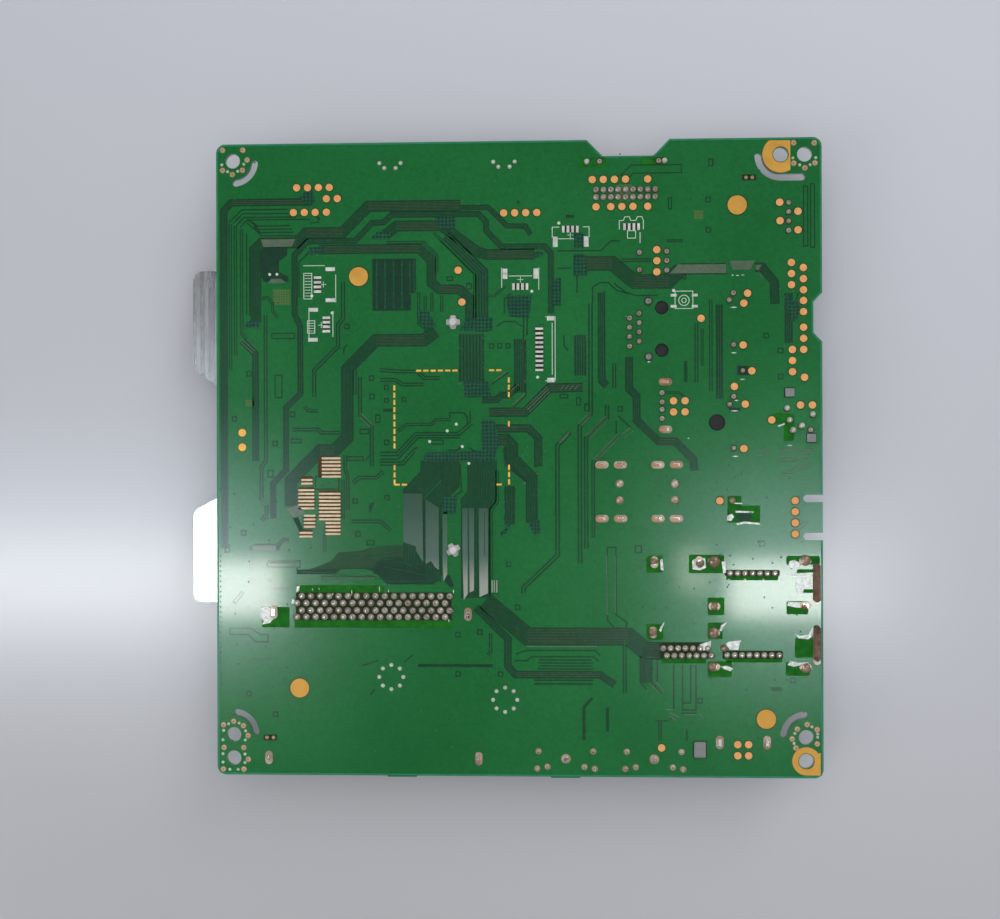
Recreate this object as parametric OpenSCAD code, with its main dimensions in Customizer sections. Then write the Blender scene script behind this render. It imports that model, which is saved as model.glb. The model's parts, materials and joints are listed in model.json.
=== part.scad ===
// Main board of a flat television, lying with its components down and its solder side up.

/* [Board] */
// Width of the circuit board
board_w = 165; // [162:1:185]
// Depth of the circuit board
board_d = 173; // [170:1:190]
// Thickness of the circuit board
board_t = 1.6; // [1:0.1:2.4]
// Radius of the board's corners
corner_r = 2.5; // [1:0.5:4]
// Height of the board above the table, which its tallest parts fill
stand_off = 18; // [17:0.5:22]
// Length of a lead that stands out of the solder side
lead_out = 1.2; // [0.6:0.1:2]

/* [Mounting holes] */
// Diameter of the mounting holes
hole_d = 4; // [3.2:0.1:4.6]
// Distance of the mounting holes from the side edges and from the top edge
hole_margin = 4.6; // [4:0.1:6]
// Height of the lower mounting holes above the bottom edge
low_hole_y = 11; // [10:0.5:13]
// Distance between a mounting hole and the locating hole beside it
hole_pair = 6.4; // [6:0.1:7]
// Width of the relief slot round a mounting hole
relief_w = 1.9; // [1:0.1:2.2]
// Radius of the relief slot's middle
relief_r = 6.1; // [5.6:0.1:6.6]

/* [Notches] */
// Width of the notch in the top edge, at the edge
top_notch_w = 22.8; // [20:0.2:26]
// Depth of the notch in the top edge
top_notch_d = 4.5; // [3:0.1:5]
// Length of the notch in the right edge, at the edge
side_notch_l = 13.2; // [10:0.2:16]
// Depth of the notch in the right edge
side_notch_d = 2.4; // [1:0.1:3]
// Width of the two slots in the right edge
edge_slot_w = 2; // [1:0.1:3]
// Length of the two slots in the right edge
edge_slot_l = 5.2; // [3:0.1:7]

/* [Heat spreader] */
// Thickness of the spreader's sheet
sheet_t = 1.5; // [1:0.1:2]
// Length of the spreader's tabs beyond the board
tab_out = 8; // [4:0.5:12]
// Width of the spreader under the board
spreader_w = 84; // [76:1:86]
// Gap between the board and the spreader's sheet
spreader_gap = 4.5; // [4:0.1:6]
// Side of the raised pad over the processor
boss_w = 36; // [33:1:40]
// Thickness of the thermal pad
thermal_t = 1; // [0.5:0.1:1.5]

/* [Chips] */
// Side of the main processor
processor_w = 27; // [23:1:31]
// Height of the main processor
processor_h = 2; // [1.6:0.1:2.2]
// Height of the memory chips
memory_h = 1.2; // [0.9:0.1:1.4]

/* [Card slot] */
// Width of the card that the slot takes
card_w = 54; // [53:0.5:55]
// Thickness of the card that the slot takes
card_t = 5; // [4.6:0.1:5.4]
// Pitch of the card slot's solder pins in a row
card_pitch = 2.54; // [2.4:0.02:2.6]
// Length of the card slot's guide
guide_l = 40; // [30:1:41]

/* [Sockets] */
// Height of the network jack
network_h = 16; // [14:0.5:17]
// Height of the upright HDMI-style sockets
screen_socket_h = 14.5; // [12:0.5:17]
// Height of the upright USB-style socket
data_socket_h = 14.5; // [12:0.5:17]
// Height of the optical output
optical_h = 14; // [12:0.5:17]
// Pitch of the jacks in the sound and picture block
av_pitch = 14; // [13:0.5:14.5]
// Diameter of the metal sleeves of the block's jacks
av_sleeve_d = 8.3; // [8:0.1:9]
// Height of the two tuners' cans
tuner_h = 8; // [6:0.5:10]
// Diameter of the tuners' aerial sockets
aerial_d = 9.4; // [9:0.1:10]
// Height of the demodulator's can
demodulator_h = 5; // [4:0.5:8]
// Height of the two edge jacks
edge_jack_h = 12; // [10:0.5:15]

/* [Power and speaker headers] */
// Pitch of the power header's pins
power_pitch = 2; // [1.8:0.1:2]
// Height of the power header
power_h = 8; // [7:0.5:10]
// Pitch of the speaker header's pins
speaker_pitch = 2.5; // [2:0.1:2.6]

/* [Tall parts] */
// Diameter of the electrolytic capacitors
capacitor_d = 8; // [6.3:0.1:10]
// Height of the electrolytic capacitors
capacitor_h = 10; // [8:0.5:14]
// Side of the power inductors
inductor_w = 8; // [6:0.5:9]

/* [Hidden] */
$fn = 48;
clear = 0.2;        // play of a lead in its hole and of a moulding in its shell
// The layout is drawn on a board of the last number. Between the first two lines places spread with the board,
// and outside them they keep their distance to the edges
SPREAD_X = [20, 100, 165];
SPREAD_Y = [20, 150, 173];
deck = stand_off + board_t;         // height of the solder side
film_t = 0.1;       // thickness of tracks and pads
lead_r = 0.35;
shell_t = 0.4;      // wall of the stamped shells
lug_t = 0.8;
stub_d = 0.3;       // length of the break-off stubs on the bottom edge
skin_t = 0.6;       // wall of the cans
slot_play = 0.6;    // play of the card in its slot
slot_w = card_w + slot_play;
rail_w = 1.2;       // side wall of the card's guide
cover_t = 0.4;      // sheet of the card slot's cover
card_side = slot_w / 2 + rail_w + 0.1 + cover_t / 2;
cap_steps = 12;     // facets of a slot's round end and of its curves
arc_steps = 14;
through = 0.5;      // how far a cutting shape runs past the face it cuts

// A place of the layout, on a board of the chosen size
function spread(v, zone, size) = v + (size - zone[2]) * min(max((v - zone[0]) / (zone[1] - zone[0]), 0), 1);
function at(x, y) = [spread(x, SPREAD_X, board_w), spread(y, SPREAD_Y, board_d)];
function placed(points) = [for (p = points) at(p[0], p[1])];
function around(centre, points) = [for (p = points) centre + p];
function row(centre, count, step) = [for (i = [0:count - 1]) centre + (i - (count - 1) / 2) * step];
function ring(centre, r, count, from = 0) =
    [for (i = [0:count - 1]) centre + r * [cos(from + i * 360 / count), sin(from + i * 360 / count)]];

// ---- Places of the parts ----
card_c = at(43.1, 46.1);
power_c = at(112.2, 158.4);
speaker_c = at(156.1, 151.65);
optical_c = at(119.6, 140);
network_c = at(119.5, 121.5);
data_c = at(123.3, 100.7);
screen_left_c = at(108.1, 77.4);
screen_right_c = at(123.2, 77.4);
av_c = at(140.5, 110.1);
side_jack_c = at(158.8, 96.8);
tuner_a_c = at(148, 52.5);
tuner_b_c = at(148, 34.6);
demodulator_c = at(125.8, 45.7);
edge_jack_cs = [at(95.6, 4.9), at(119.5, 4.9)];
edge_socket_c = at(143.5, 7);
processor_c = at(64.7, 95);
push_pin_cs = [at(65.2, 123.7), at(65.1, 61.6)];

// ---- Where leads come through the board ----
card_rows = [2.9, 1, -1, -2.8];
card_leads = [for (r = [0:3], i = [0:16])
    card_c + [(i - 8) * card_pitch + (r % 2 == 0 ? 1 : -1) * card_pitch / 4, card_rows[r]]];
power_leads = [for (x = row(0, 9, power_pitch), y = [1, -1]) power_c + [x, y]];
speaker_leads = [for (y = row(0, 4, speaker_pitch)) speaker_c + [0, y]];
optical_leads_at = around(optical_c, [[3.7, 2.5], [3.7, 0], [3.7, -2.6], [-3.7, 2.3], [-3.7, -2.4]]);
network_pitch = 2.54;
network_leads = [for (i = [0:3], r = [0, 1])
    network_c + [-6.3 + r * network_pitch, 3 - i * network_pitch + r * network_pitch / 2]];
network_pegs = around(network_c, [[2.4, 5.75], [2.4, -5.75]]);
network_shield_leads = around(network_c, [[-1.2, 7.55], [-1.2, -7.55]]);
data_leads = around(data_c, [[-1.4, 3.5], [-1.4, 1], [-1.4, -1], [-1.4, -3.5]]);
av_leads = around(av_c, [for (k = row(0, 4, av_pitch)) [0.7, k], [-0.4, av_pitch + 5.1],
    [-0.4, -av_pitch + 4.9], [3.2, 0]]);
side_jack_leads = around(side_jack_c,
    [[-3.4, 2.9], [-2.5, -0.1], [-2, -3], [0.4, -1.8], [3.6, 1.2], [3, -2.8]]);
tuner_a_leads = [for (x = row(-1.9, 7, 2)) tuner_a_c + [x, 2.8]];
tuner_b_leads = [for (x = row(-1.8, 8, 2)) tuner_b_c + [x, -1.4]];
demodulator_leads = [for (x = row(2.2, 7, 2)) each [demodulator_c + [x, -10.7],
    demodulator_c + [x + 1, -12.7]]];
edge_jack_leads = [for (c = edge_jack_cs)
    each around(c, [[-7.4, 2], [-7.8, -2.7], [-5, -2.2], [5, -2.2], [7.8, -2.7], [7.4, 2]])];
edge_jack_middles = edge_jack_cs;
header_lugs = around(power_c, [[-7, 8.7], [9, 8.7], [-10.5, 8.7], [10.6, 8.7]]);
thick_leads = [each network_shield_leads, each edge_jack_middles];
thin_leads = [each card_leads, each power_leads, each speaker_leads, each optical_leads_at,
    each network_leads, each data_leads, each av_leads, each side_jack_leads, each tuner_a_leads,
    each tuner_b_leads, each demodulator_leads, each edge_jack_leads, each header_lugs];

// Lugs of the shells: [place, length along X, length along Y]
header_clips = [for (p = [[-27.4, -1.5], [26, -2]]) [card_c + p, lug_t, 1.8]];
card_lugs = [for (s = [-1, 1]) [card_c + [s * card_side, -41.3], cover_t, 1.8]];
data_lugs = [for (y = [6.45, -6.45]) [data_c + [-0.5, y], 1.8, lug_t]];
function screen_lugs(c) = [for (p = [[-2.5, 7.3], [2.5, 7.3], [-2.5, -7.3], [2.5, -7.3]]) [c + p, 1.8, lug_t]];
edge_socket_lugs = [for (x = [-6.35, 6.35]) [edge_socket_c + [x, 2.6], lug_t, 1.8]];
tuner_a_lugs = [for (p = [[-12.3, 6.1], [-12.2, -6.1], [12.2, 6.1], [12.3, -5.8]]) [tuner_a_c + p, 1.4, lug_t]];
tuner_b_lugs = [for (p = [[-12.3, 4.6], [-12.3, -4.6], [12.2, -4.6]]) [tuner_b_c + p, 1.4, lug_t]];
tuner_slot_lugs = [[tuner_a_c + [15.3, 0.1], lug_t, 9], [tuner_b_c + [15.3, 0.9], lug_t, 8]];
demodulator_lugs = [for (p = [[-6.1, 12.6], [6, 12.6], [-6.5, -6.4]]) [demodulator_c + p, lug_t, 1.4]];
all_lugs = [each header_clips, each card_lugs, each data_lugs, each screen_lugs(screen_left_c),
    each screen_lugs(screen_right_c), each edge_socket_lugs, each tuner_a_lugs, each tuner_b_lugs,
    each tuner_slot_lugs, each demodulator_lugs];
screen_pegs = [for (c = [screen_left_c, screen_right_c], y = [2.2, -2.3]) c + [2.2, y]];
av_peg = av_c + [-3.8, -av_pitch];

mount_holes = [for (x = [hole_margin, board_w - hole_margin], y = [low_hole_y, board_d - hole_margin]) [x, y]];
locating_holes = [[hole_margin, low_hole_y - hole_pair], [board_w - hole_margin, low_hole_y - hole_pair],
    [board_w - hole_margin - hole_pair, board_d - hole_margin]];

// ---- Shared shapes ----
module slab(from, to) translate(from) cube(to - from);

// A block that stands on the component side: centre, size and how far from the board it starts
module parts_block(c, size, start = 0)
    translate([c.x - size.x / 2, c.y - size.y / 2, stand_off - start - size.z]) cube(size);

module parts_post(c, r, h, start = 0)
    translate([c.x, c.y, stand_off - start - h]) cylinder(r = r, h = h);

// A flat bar with round ends, drawn along X and turned by angle
module bar(length, width, angle = 0)
    rotate(angle) {
        square([length - width, width], center = true);
        for (side = [-1, 1]) translate([side * (length - width) / 2, 0]) circle(d = width);
    }

module rounded(size, r) {
    square([size.x - 2 * r, size.y], center = true);
    square([size.x, size.y - 2 * r], center = true);
    for (x = [-1, 1], y = [-1, 1]) translate([x * (size.x / 2 - r), y * (size.y / 2 - r)]) circle(r);
}

// A lead through the board with a chamfered tip
module lead(p, r = lead_r) translate([p.x, p.y, stand_off]) {
    cylinder(r = r, h = board_t + lead_out - r / 2);
    translate([0, 0, board_t + lead_out - r / 2]) cylinder(r1 = r, r2 = r / 2, h = r / 2);
}

module leads(points, r = lead_r) for (p = points) lead(p, r);

// A shell's lug through the board
module lug(l) translate([l[0].x - l[1] / 2, l[0].y - l[2] / 2, stand_off - shell_t])
    cube([l[1], l[2], board_t + lead_out + shell_t - 0.2]);

// Ring of solder round a lead, with a hollow flank
module fillet_of_solder(p, pin_r, foot_r, h) translate([p.x, p.y, deck])
    rotate_extrude() polygon([[pin_r, 0], [foot_r, 0], [foot_r - 0.1, 0.12],
        [(pin_r + foot_r) / 2, h * 0.4], [pin_r + 0.12, h], [pin_r, h]]);

// A point of a path moved sideways and mitred at the bends
function unit(v) = v / norm(v);
function left_of(v) = [-v.y, v.x];
function shifted(path, i, side) =
    let (last = len(path) - 1,
         before = left_of(unit(path[max(i, 1)] - path[max(i, 1) - 1])),
         after = left_of(unit(path[min(i, last - 1) + 1] - path[min(i, last - 1)])),
         mitre = unit(before + after))
    path[i] + mitre * side / (mitre * before);

module track(path, width, side = 0)
    polygon([for (i = [0:len(path) - 1]) shifted(path, i, side + width / 2),
        for (i = [len(path) - 1:-1:0]) shifted(path, i, side - width / 2)]);

module bundle(path, width, lines)
    for (k = [0:lines - 1]) track(path, width / lines * 0.6, (k - (lines - 1) / 2) * width / lines);

// Corner b of the outline a, b, c as an arc
function corner(a, b, c, r) =
    let (u = unit(a - b), v = unit(c - b), half = acos(u * v) / 2, middle = b + unit(u + v) * r / sin(half),
         start = b + u * r / tan(half) - middle, turn = (u.x * v.y - u.y * v.x > 0 ? 1 : -1) * (2 * half - 180),
         steps = 8)
    [for (s = [0:steps]) let (t = -turn * s / steps)
        middle + [start.x * cos(t) + start.y * sin(t), start.y * cos(t) - start.x * sin(t)]];
function rounded_path(points, radii) =
    let (n = len(points))
    [for (i = [0:n - 1]) each radii[i] > 0
        ? corner(points[(i + n - 1) % n], points[i], points[(i + 1) % n], radii[i]) : [points[i]]];

// ---- The circuit board ----
module board_outline() {
    difference() {
        translate([board_w, board_d] / 2) rounded([board_w, board_d], corner_r);
        top_notch();
        side_notch();
        for (y = [75.5, 65.2]) translate([board_w, at(0, y).y]) bar(2 * edge_slot_l, edge_slot_w);
    }
    for (x = [50.9, 95.5]) translate([at(x, 0).x, 0]) square([8, 2 * stub_d], center = true);
}

module top_notch() {
    x = power_c.x + 0.7;
    slope = top_notch_d;
    polygon(rounded_path([[x - top_notch_w / 2 - through, board_d + through],
        [x - top_notch_w / 2 + slope, board_d - top_notch_d],
        [x + top_notch_w / 2 - slope, board_d - top_notch_d],
        [x + top_notch_w / 2 + through, board_d + through]], [0, 1.5, 1.5, 0]));
}

module side_notch() {
    y = at(board_w, 124.4).y;
    polygon(rounded_path([[board_w + through, y + side_notch_l / 2 + through],
        [board_w - side_notch_d, y + side_notch_l / 2 - side_notch_d],
        [board_w - side_notch_d, y - side_notch_l / 2 + side_notch_d],
        [board_w + through, y - side_notch_l / 2 - through]], [0, 1, 1, 0]));
}

// Outline of a slot with round ends along a path
function cap(end, towards, width) =
    let (a = atan2(towards.y, towards.x))
    [for (i = [1:cap_steps - 1]) end + width / 2 * [cos(a + 90 - i * 180 / cap_steps), sin(a + 90 - i * 180 / cap_steps)]];
function slot(path, width) =
    let (last = len(path) - 1)
    [for (i = [0:last]) shifted(path, i, width / 2), each cap(path[last], path[last] - path[last - 1], width),
     for (i = [last:-1:0]) shifted(path, i, -width / 2), each cap(path[0], path[0] - path[1], width)];

// Path of the relief slot round a mounting hole
function relief(c, from, to) =
    [for (i = [0:arc_steps]) let (a = from + (to - from) * i / arc_steps) c + relief_r * [cos(a), sin(a)]];

module reliefs() {
    polygon(slot(relief(mount_holes[1], -82, -8), relief_w));
    polygon(slot(relief(mount_holes[0], 8, 80), relief_w));
    polygon(slot(relief(mount_holes[2], 95, 172), relief_w));
    polygon(slot([each relief(locating_holes[2], 185, 270),
        locating_holes[2] + [hole_pair - 0.8, -relief_r]], relief_w));
}

module circuit_board() color("forestgreen") translate([0, 0, stand_off]) linear_extrude(board_t)
    difference() {
        board_outline();
        for (p = [each mount_holes, each locating_holes]) translate(p) circle(d = hole_d);
        reliefs();
        for (p = thin_leads) translate(p) circle(lead_r + clear);
        for (p = thick_leads) translate(p) circle(2 * lead_r + clear);
        for (l = all_lugs) translate(l[0]) square([l[1], l[2]] + 2 * [clear, clear], center = true);
        for (p = network_pegs) translate(p) circle(peg_r + clear);
        for (p = screen_pegs) translate(p) circle(screen_peg_r + clear);
        translate(av_peg) circle(av_peg_r + clear);
        for (p = push_pin_cs) translate(p) circle(push_r + clear);
    }

// ---- Copper and print on the solder side ----
// Each bundle: width, number of lines, then the points of its middle
BUNDLES = [
    [2.5, 5, [[28, 148.4], [35, 148.4], [42, 155.6], [67, 155.6]]],
    [1, 2, [[28, 146.1], [38.5, 146.1], [43, 151], [46, 151.2], [48.5, 153.2], [72.5, 153.2], [74.2, 151],
        [74.2, 148.8], [78.5, 144.3], [90.5, 144.3], [91.9, 142], [91.9, 127]]],
    [0.8, 2, [[68, 154.9], [74.5, 154.9], [80, 149.9], [84.5, 149.7], [86.5, 147.7]]],
    [2.1, 4, [[44, 147.3], [50, 150], [64, 150], [75.5, 142], [88, 142]]],
    [2.1, 4, [[28, 143.9], [56, 143.9], [59.5, 140], [59.5, 134.5], [62, 132.8], [67, 132.8], [70, 130],
        [70, 128]]],
    [1.4, 3, [[25, 157], [4, 157], [2.2, 155], [2.2, 62]]],
    [2.2, 4, [[20, 153.2], [7.5, 153.2], [4.5, 150.2], [4.5, 115]]],
    [1.2, 2, [[7.2, 149], [7.2, 119.5], [11, 115.6], [11, 86]]],
    [2.2, 4, [[22, 147.2], [14, 147.2], [10.9, 144.4], [10.9, 124.5]]],
    [1.4, 3, [[25, 146], [21.6, 142], [21.6, 126], [23.2, 123], [23.2, 104.5], [19, 100.5], [19, 85],
        [15.5, 79.5], [15.5, 70.5]]],
    [1.2, 2, [[13.7, 126], [13.7, 85.5], [12.5, 83], [12.5, 75], [14, 73]]],
    [2.8, 6, [[60.5, 121], [57.5, 118.8], [44, 118.8], [36, 111], [36, 92.5], [32.5, 88.8], [28.5, 88.8],
        [20.3, 80.5], [20.3, 73.5]]],
    [4.6, 8, [[63, 147.2], [73, 137.2], [73, 122], [70.2, 119], [70.2, 108]]],
    [5, 8, [[58.8, 86], [58.8, 82], [54, 76.5], [54, 64]]],
    [4, 7, [[64.5, 86], [64.5, 79.5], [59.6, 74.5], [59.6, 64]]],
    [7, 12, [[72.5, 86], [72.5, 76], [71, 74], [71, 52]]],
    [0.6, 1, [[76.6, 83], [76.6, 74.5], [75.5, 72.5], [75.5, 49.5]]],
    [4.4, 8, [[72, 48], [85, 38], [112, 38]]],
    [1.4, 3, [[73, 44], [79.6, 38], [79.6, 30], [81.5, 27.7], [105, 27.7], [109.5, 24.8]]],
    [2.7, 5, [[81, 87], [86.4, 81], [86.4, 69]]],
    [2.3, 4, [[80.4, 79], [80.4, 68]]],
    [1.4, 3, [[76, 94.5], [85.5, 94.5], [88.2, 90.8], [88.2, 84]]],
    [2, 4, [[75, 99.1], [84.8, 99.1], [91, 105.2], [100.5, 106]]],
    [1.1, 2, [[97, 93], [93.6, 89.7], [93.6, 60.2], [84, 51], [84, 49.5]]],
    [1, 2, [[102.5, 128], [102.5, 98], [99.5, 94.5], [99.5, 58]]],
    [0.5, 1, [[106.5, 104], [106.5, 97], [102.2, 91.5], [102.2, 62]]],
    [1.5, 3, [[113, 111], [113, 105], [115.2, 103], [115.2, 96.5], [119, 92]]],
    [4.5, 8, [[99, 138.5], [111, 138.5]]],
    [2.4, 5, [[126, 137.5], [134, 137.5]]],
    [1.4, 3, [[156, 130], [156, 118]]],
    [0.8, 2, [[135, 129], [135, 104.5]]],
    [0.8, 2, [[131.3, 123], [131.3, 107]]],
    [1, 1, [[128.3, 112.5], [128.3, 107]]],
    [2.6, 4, [[99.7, 120], [99.7, 109]]],
    [0.5, 1, [[55.3, 30], [75.8, 30]]],
    [0.6, 1, [[103.5, 21], [100.7, 18], [100.7, 10.5]]],
    [0.6, 1, [[107, 18.5], [107, 13]]]
];

module copper_tracks() color("seagreen") translate([0, 0, deck]) linear_extrude(film_t)
    for (b = BUNDLES) bundle(placed(b[2]), b[0], b[1]);

FIDUCIALS = [[39.3, 136.4], [142.3, 154.9], [22.8, 23.8], [149.7, 15.9]];
fiducial_r = 2.6;
ground_r = 4.9;
ground_reach = 6;   // height of the square half of the lower pad
rim = 0.8;          // bare laminate left between a pad and the board's edge

module ground_pads() color("goldenrod") translate([0, 0, deck]) linear_extrude(film_t) {
    for (p = placed(FIDUCIALS)) translate(p) circle(fiducial_r);
    difference() {
        intersection() {
            translate(locating_holes[2]) circle(ground_r);
            translate(locating_holes[2] + [-ground_r, -ground_r])
                square([ground_r + 2.6, ground_r + hole_margin - rim]);
        }
        translate(locating_holes[2]) circle(hole_d / 2 + clear);
    }
    difference() {
        union() {
            translate(locating_holes[1]) circle(hole_margin - rim);
            translate(locating_holes[1] + [0, rim - hole_margin])
                square([hole_margin - rim, ground_reach]);
        }
        translate(locating_holes[1]) circle(hole_d / 2 + clear);
    }
}

TEST_PADS = [
    for (x = [22.3, 25.3, 28.3, 31.3]) [x, 160.9],
    [30.5, 157.8], [33.5, 157.8],
    for (x = [21.4, 24.4, 27.4, 30.5]) [x, 154.1],
    for (x = [79.1, 82.1, 85.1, 88.1]) [x, 153.4],
    for (x = [103.2, 106.2, 109.2, 112.2, 118.2]) [x, 162.2],
    for (x = [104.2, 108.2, 111.2, 114.2, 118.2]) [x, 154.8],
    [66.6, 137.9], [67.6, 129.2],
    for (y = [143, 140, 137]) [120.6, y],
    [153.7, 155.5], [158.6, 153], [153.8, 150.5], [158.6, 148],
    for (y = [139.2, 136.2, 133.2]) [156.8, y],
    for (y = [137.8, 134.8, 131.8, 128.9, 125.9, 121.7, 118.7, 115.7]) [160, y],
    for (y = [115.7, 112.7, 109.7]) [157, y],
    [160.2, 108.2], [145, 131], [144, 128.3], [132.5, 124.3], [143.8, 117], [146.1, 110],
    [141.4, 105.8], [144.3, 101], [143.9, 89],
    for (x = [125, 128.1], y = [102, 99]) [x, y],
    [159.1, 100.7], [162.3, 100.7], [151.4, 96.7], [137.4, 74.9],
    for (y = [74.9, 71.9, 68.9, 65.9]) [157.6, y],
    [121.5, 8],
    for (x = [142, 144.9], y = [9, 6]) [x, y],
    [7.1, 93.8], [7.1, 89.8]
];
test_pad_r = 1;

module test_pads() color("sandybrown") translate([0, 0, deck]) linear_extrude(film_t)
    for (p = placed(TEST_PADS)) translate(p) circle(test_pad_r);

// Unfitted connectors: [first pad, step, pads, pad size, two end pads, end pad size]
BARE = [
    [[28, 136.2], [0, -1.27], 4, [2, 0.7], [[31.5, 138.5], [31.5, 130]], [2.6, 1]],
    [[30.4, 125.2], [0, -1.23], 4, [2, 0.7], [[26.8, 127.4], [26.7, 119.2]], [2.6, 1]],
    [[95.3, 148.8], [1.27, 0], 4, [0.7, 1.8], [[93.1, 145.4], [101.5, 145.4]], [1.3, 2.8]],
    [[81.7, 133.3], [1.23, 0], 4, [0.7, 1.8], [[79.4, 136.8], [87.8, 136.8]], [1.3, 2.8]],
    [[111.9, 149.3], [1.27, 0], 4, [0.7, 1.8], [], [0, 0]],
    [[88.7, 121.8], [0, -1.25], 10, [2.1, 0.6], [[91.8, 124.6], [91.8, 107.8]], [2, 1.2]]
];
SWITCH_PADS = [[125.1, 130.6], [130.8, 130.6], [125.1, 127.6], [130.8, 127.6]];

module bare_footprints() color("gainsboro") translate([0, 0, deck]) linear_extrude(film_t) {
    for (b = BARE) {
        first = at(b[0].x, b[0].y);
        for (i = [0:b[2] - 1]) translate(first + i * b[1]) square(b[3], center = true);
        for (e = b[4]) translate(first + e - b[0]) square(b[5], center = true);
    }
    switch_c = at(127.9, 129.2);
    for (p = SWITCH_PADS) translate(switch_c + p - [127.9, 129.2]) square([1.6, 0.7], center = true);
}

// Comb-shaped fields of bare strips: [left, right, lowest strip, highest strip]
COMBS = [[29, 34.3, 81.7, 86.7], [23.3, 26.5, 79.8, 81.4], [22.5, 27, 73, 78.5], [28.2, 34.2, 70, 77.5],
    [24, 27.3, 68, 71], [22.8, 26.5, 65.3, 67], [30, 34.2, 66, 69]];

module comb_pads() color("tan") translate([0, 0, deck]) linear_extrude(film_t)
    for (c = COMBS, i = [0:floor(c[3] - c[2])])
        translate(at(c[0], c[2] + i) + [(c[1] - c[0]) / 2, 0]) bar(c[1] - c[0], 0.55);

// Dashed frame that marks the area under the processor
area_low = at(49.05, 79.45);
area_high = at(80.35, 110.55);
dash_l = 1.4;
dash_w = 0.5;

module dashes(start, step, list) for (i = list) translate(start + i * step)
    square([abs(step.x) > 0 ? dash_l : dash_w, abs(step.y) > 0 ? dash_l : dash_w], center = true);

module area_dashes() color("orange") translate([0, 0, deck]) linear_extrude(film_t) {
    area = area_high - area_low;
    inset = dash_l / 2;
    steps = 15;
    across = [(area.x - dash_l) / steps, 0];
    along = [0, (area.y - dash_l) / steps];
    dashes(area_low + [inset, area.y], across, [3:8]);
    dashes(area_low + [inset, area.y], across, [13:14]);
    dashes(area_low + [0, inset], along, [0:2]);
    dashes(area_low + [0, inset], along, [5:13]);
    dashes(area_low + [inset, 0], across, [0:1]);
    dashes(area_low + [inset, 0], across, [14]);
    dashes(area_low + [area.x, inset], along, [0, 1, 2, 8, 12, 13, 14]);
}

// Plated solder dots round the corner holes and the four contact places
dot_r = 0.6;
small_dot_r = 0.42;
CORNER_DOTS = [
    [[-2.9, 2.6], [-0.1, 3.6], [2.6, 2.4], [3.9, -0.3], [-2.8, -3.6], [2.7, -3.6], [3.9, -6.8], [2.7, -9.5], [-3, -9.5]],
    [[-2.8, 3], [2.8, 3], [4, 0.3], [2.7, -2.5], [-0.1, -3.7], [-2.8, -2.5]],
    [[0.2, 3.5], [-2.4, 2.3], [2.9, 2.2], [-3.8, -0.4], [-2.8, -2.8], [2.9, -1.7]],
    [[-2.9, 3.1], [2.6, 3], [-2.9, -2.4], [0.1, -3.7], [2.8, -2.4]]
];
SMALL_DOTS = [
    [[-2.9, 1.1], [-1.5, 2.9], [1.4, 3.1], [3.2, 1], [-3.1, -1.5], [3.1, -1.5], [-3.1, -5.3], [3, -5.4], [-3.1, -7.6],
        [3, -7.7], [-1.2, -9.6], [1.1, -9.6]],
    [[-3, -1], [3.1, -0.9], [-1.4, -2.9], [1.4, -2.8]],
    [[1.5, 2.9], [-3.1, 1.1], [-3.3, -1.6], [3, 1], [3, 0.1]],
    [[-3.1, -1], [-1.3, -2.9], [1.5, -2.9], [3, -1]]
];
DOT_RINGS = [[48, 26.9], [79.1, 20.8]];
DOT_HALVES = [[48, 168.9], [79.2, 168.9]];
VIA_PAIRS = [[144.7, 162.3], [146.4, 162.3], [13.7, 10.2], [15.5, 10.2]];
contact_r = 3.3;

module dot(p, r = dot_r) translate([p.x, p.y, deck]) cylinder(r1 = r, r2 = r * 0.55, h = 0.35);

module solder_dots() color("silver") {
    for (i = [0:3]) {
        for (d = CORNER_DOTS[i]) dot(mount_holes[i] + d);
        for (d = SMALL_DOTS[i]) dot(mount_holes[i] + d, small_dot_r);
    }
    for (c = placed(DOT_RINGS)) for (q = ring(c, contact_r, 8)) dot(q, 0.55);
    for (c = placed(DOT_HALVES)) for (a = [208, 242, 298, 332]) dot(c + contact_r * [cos(a), sin(a)], 0.55);
    for (c = placed(VIA_PAIRS)) dot(c, 0.5);
}

foot_r = 0.95;       // solder at the foot of a lead
tight_foot_r = 0.9;  // the same in rows of 2 mm pitch
module pin_solder() color("silver") {
    for (p = [each card_leads, each demodulator_leads]) fillet_of_solder(p, lead_r, foot_r, 0.95);
    for (p = [each power_leads, each tuner_a_leads, each tuner_b_leads]) fillet_of_solder(p, lead_r, tight_foot_r, 0.9);
    for (p = [each speaker_leads, each optical_leads_at, each network_leads, each data_leads, each av_leads,
        each side_jack_leads, each edge_jack_leads, each header_lugs]) fillet_of_solder(p, lead_r, foot_r + 0.05, 0.95);
    for (p = thick_leads) fillet_of_solder(p, 2 * lead_r, foot_r + 0.5, 1);
}

module lug_solder() color("silver") translate([0, 0, deck]) for (l = all_lugs)
    translate(l[0]) difference() {
        union() {
            linear_extrude(0.35) bar(max(l[1], l[2]) + 1.8, 2, l[2] > l[1] ? 90 : 0);
            linear_extrude(0.75) bar(max(l[1], l[2]) + 1.1, 1.4, l[2] > l[1] ? 90 : 0);
        }
        translate([-l[1] / 2, -l[2] / 2, -through]) cube([l[1], l[2], 2]);
    }

// Grey two-terminal parts in dark boxes on the solder side
TRIMS = [[side_jack_c + [-2.6, 7.3], [2.4, 2.2]], [side_jack_c + [3.2, -5], [2.4, 2.2]], [at(131.8, 7.6), [3.1, 4.2]]];

module trim_capacitors() color("gray") translate([0, 0, deck]) for (t = TRIMS)
    translate(t[0]) linear_extrude(0.5) rounded(t[1], 0.3);

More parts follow.
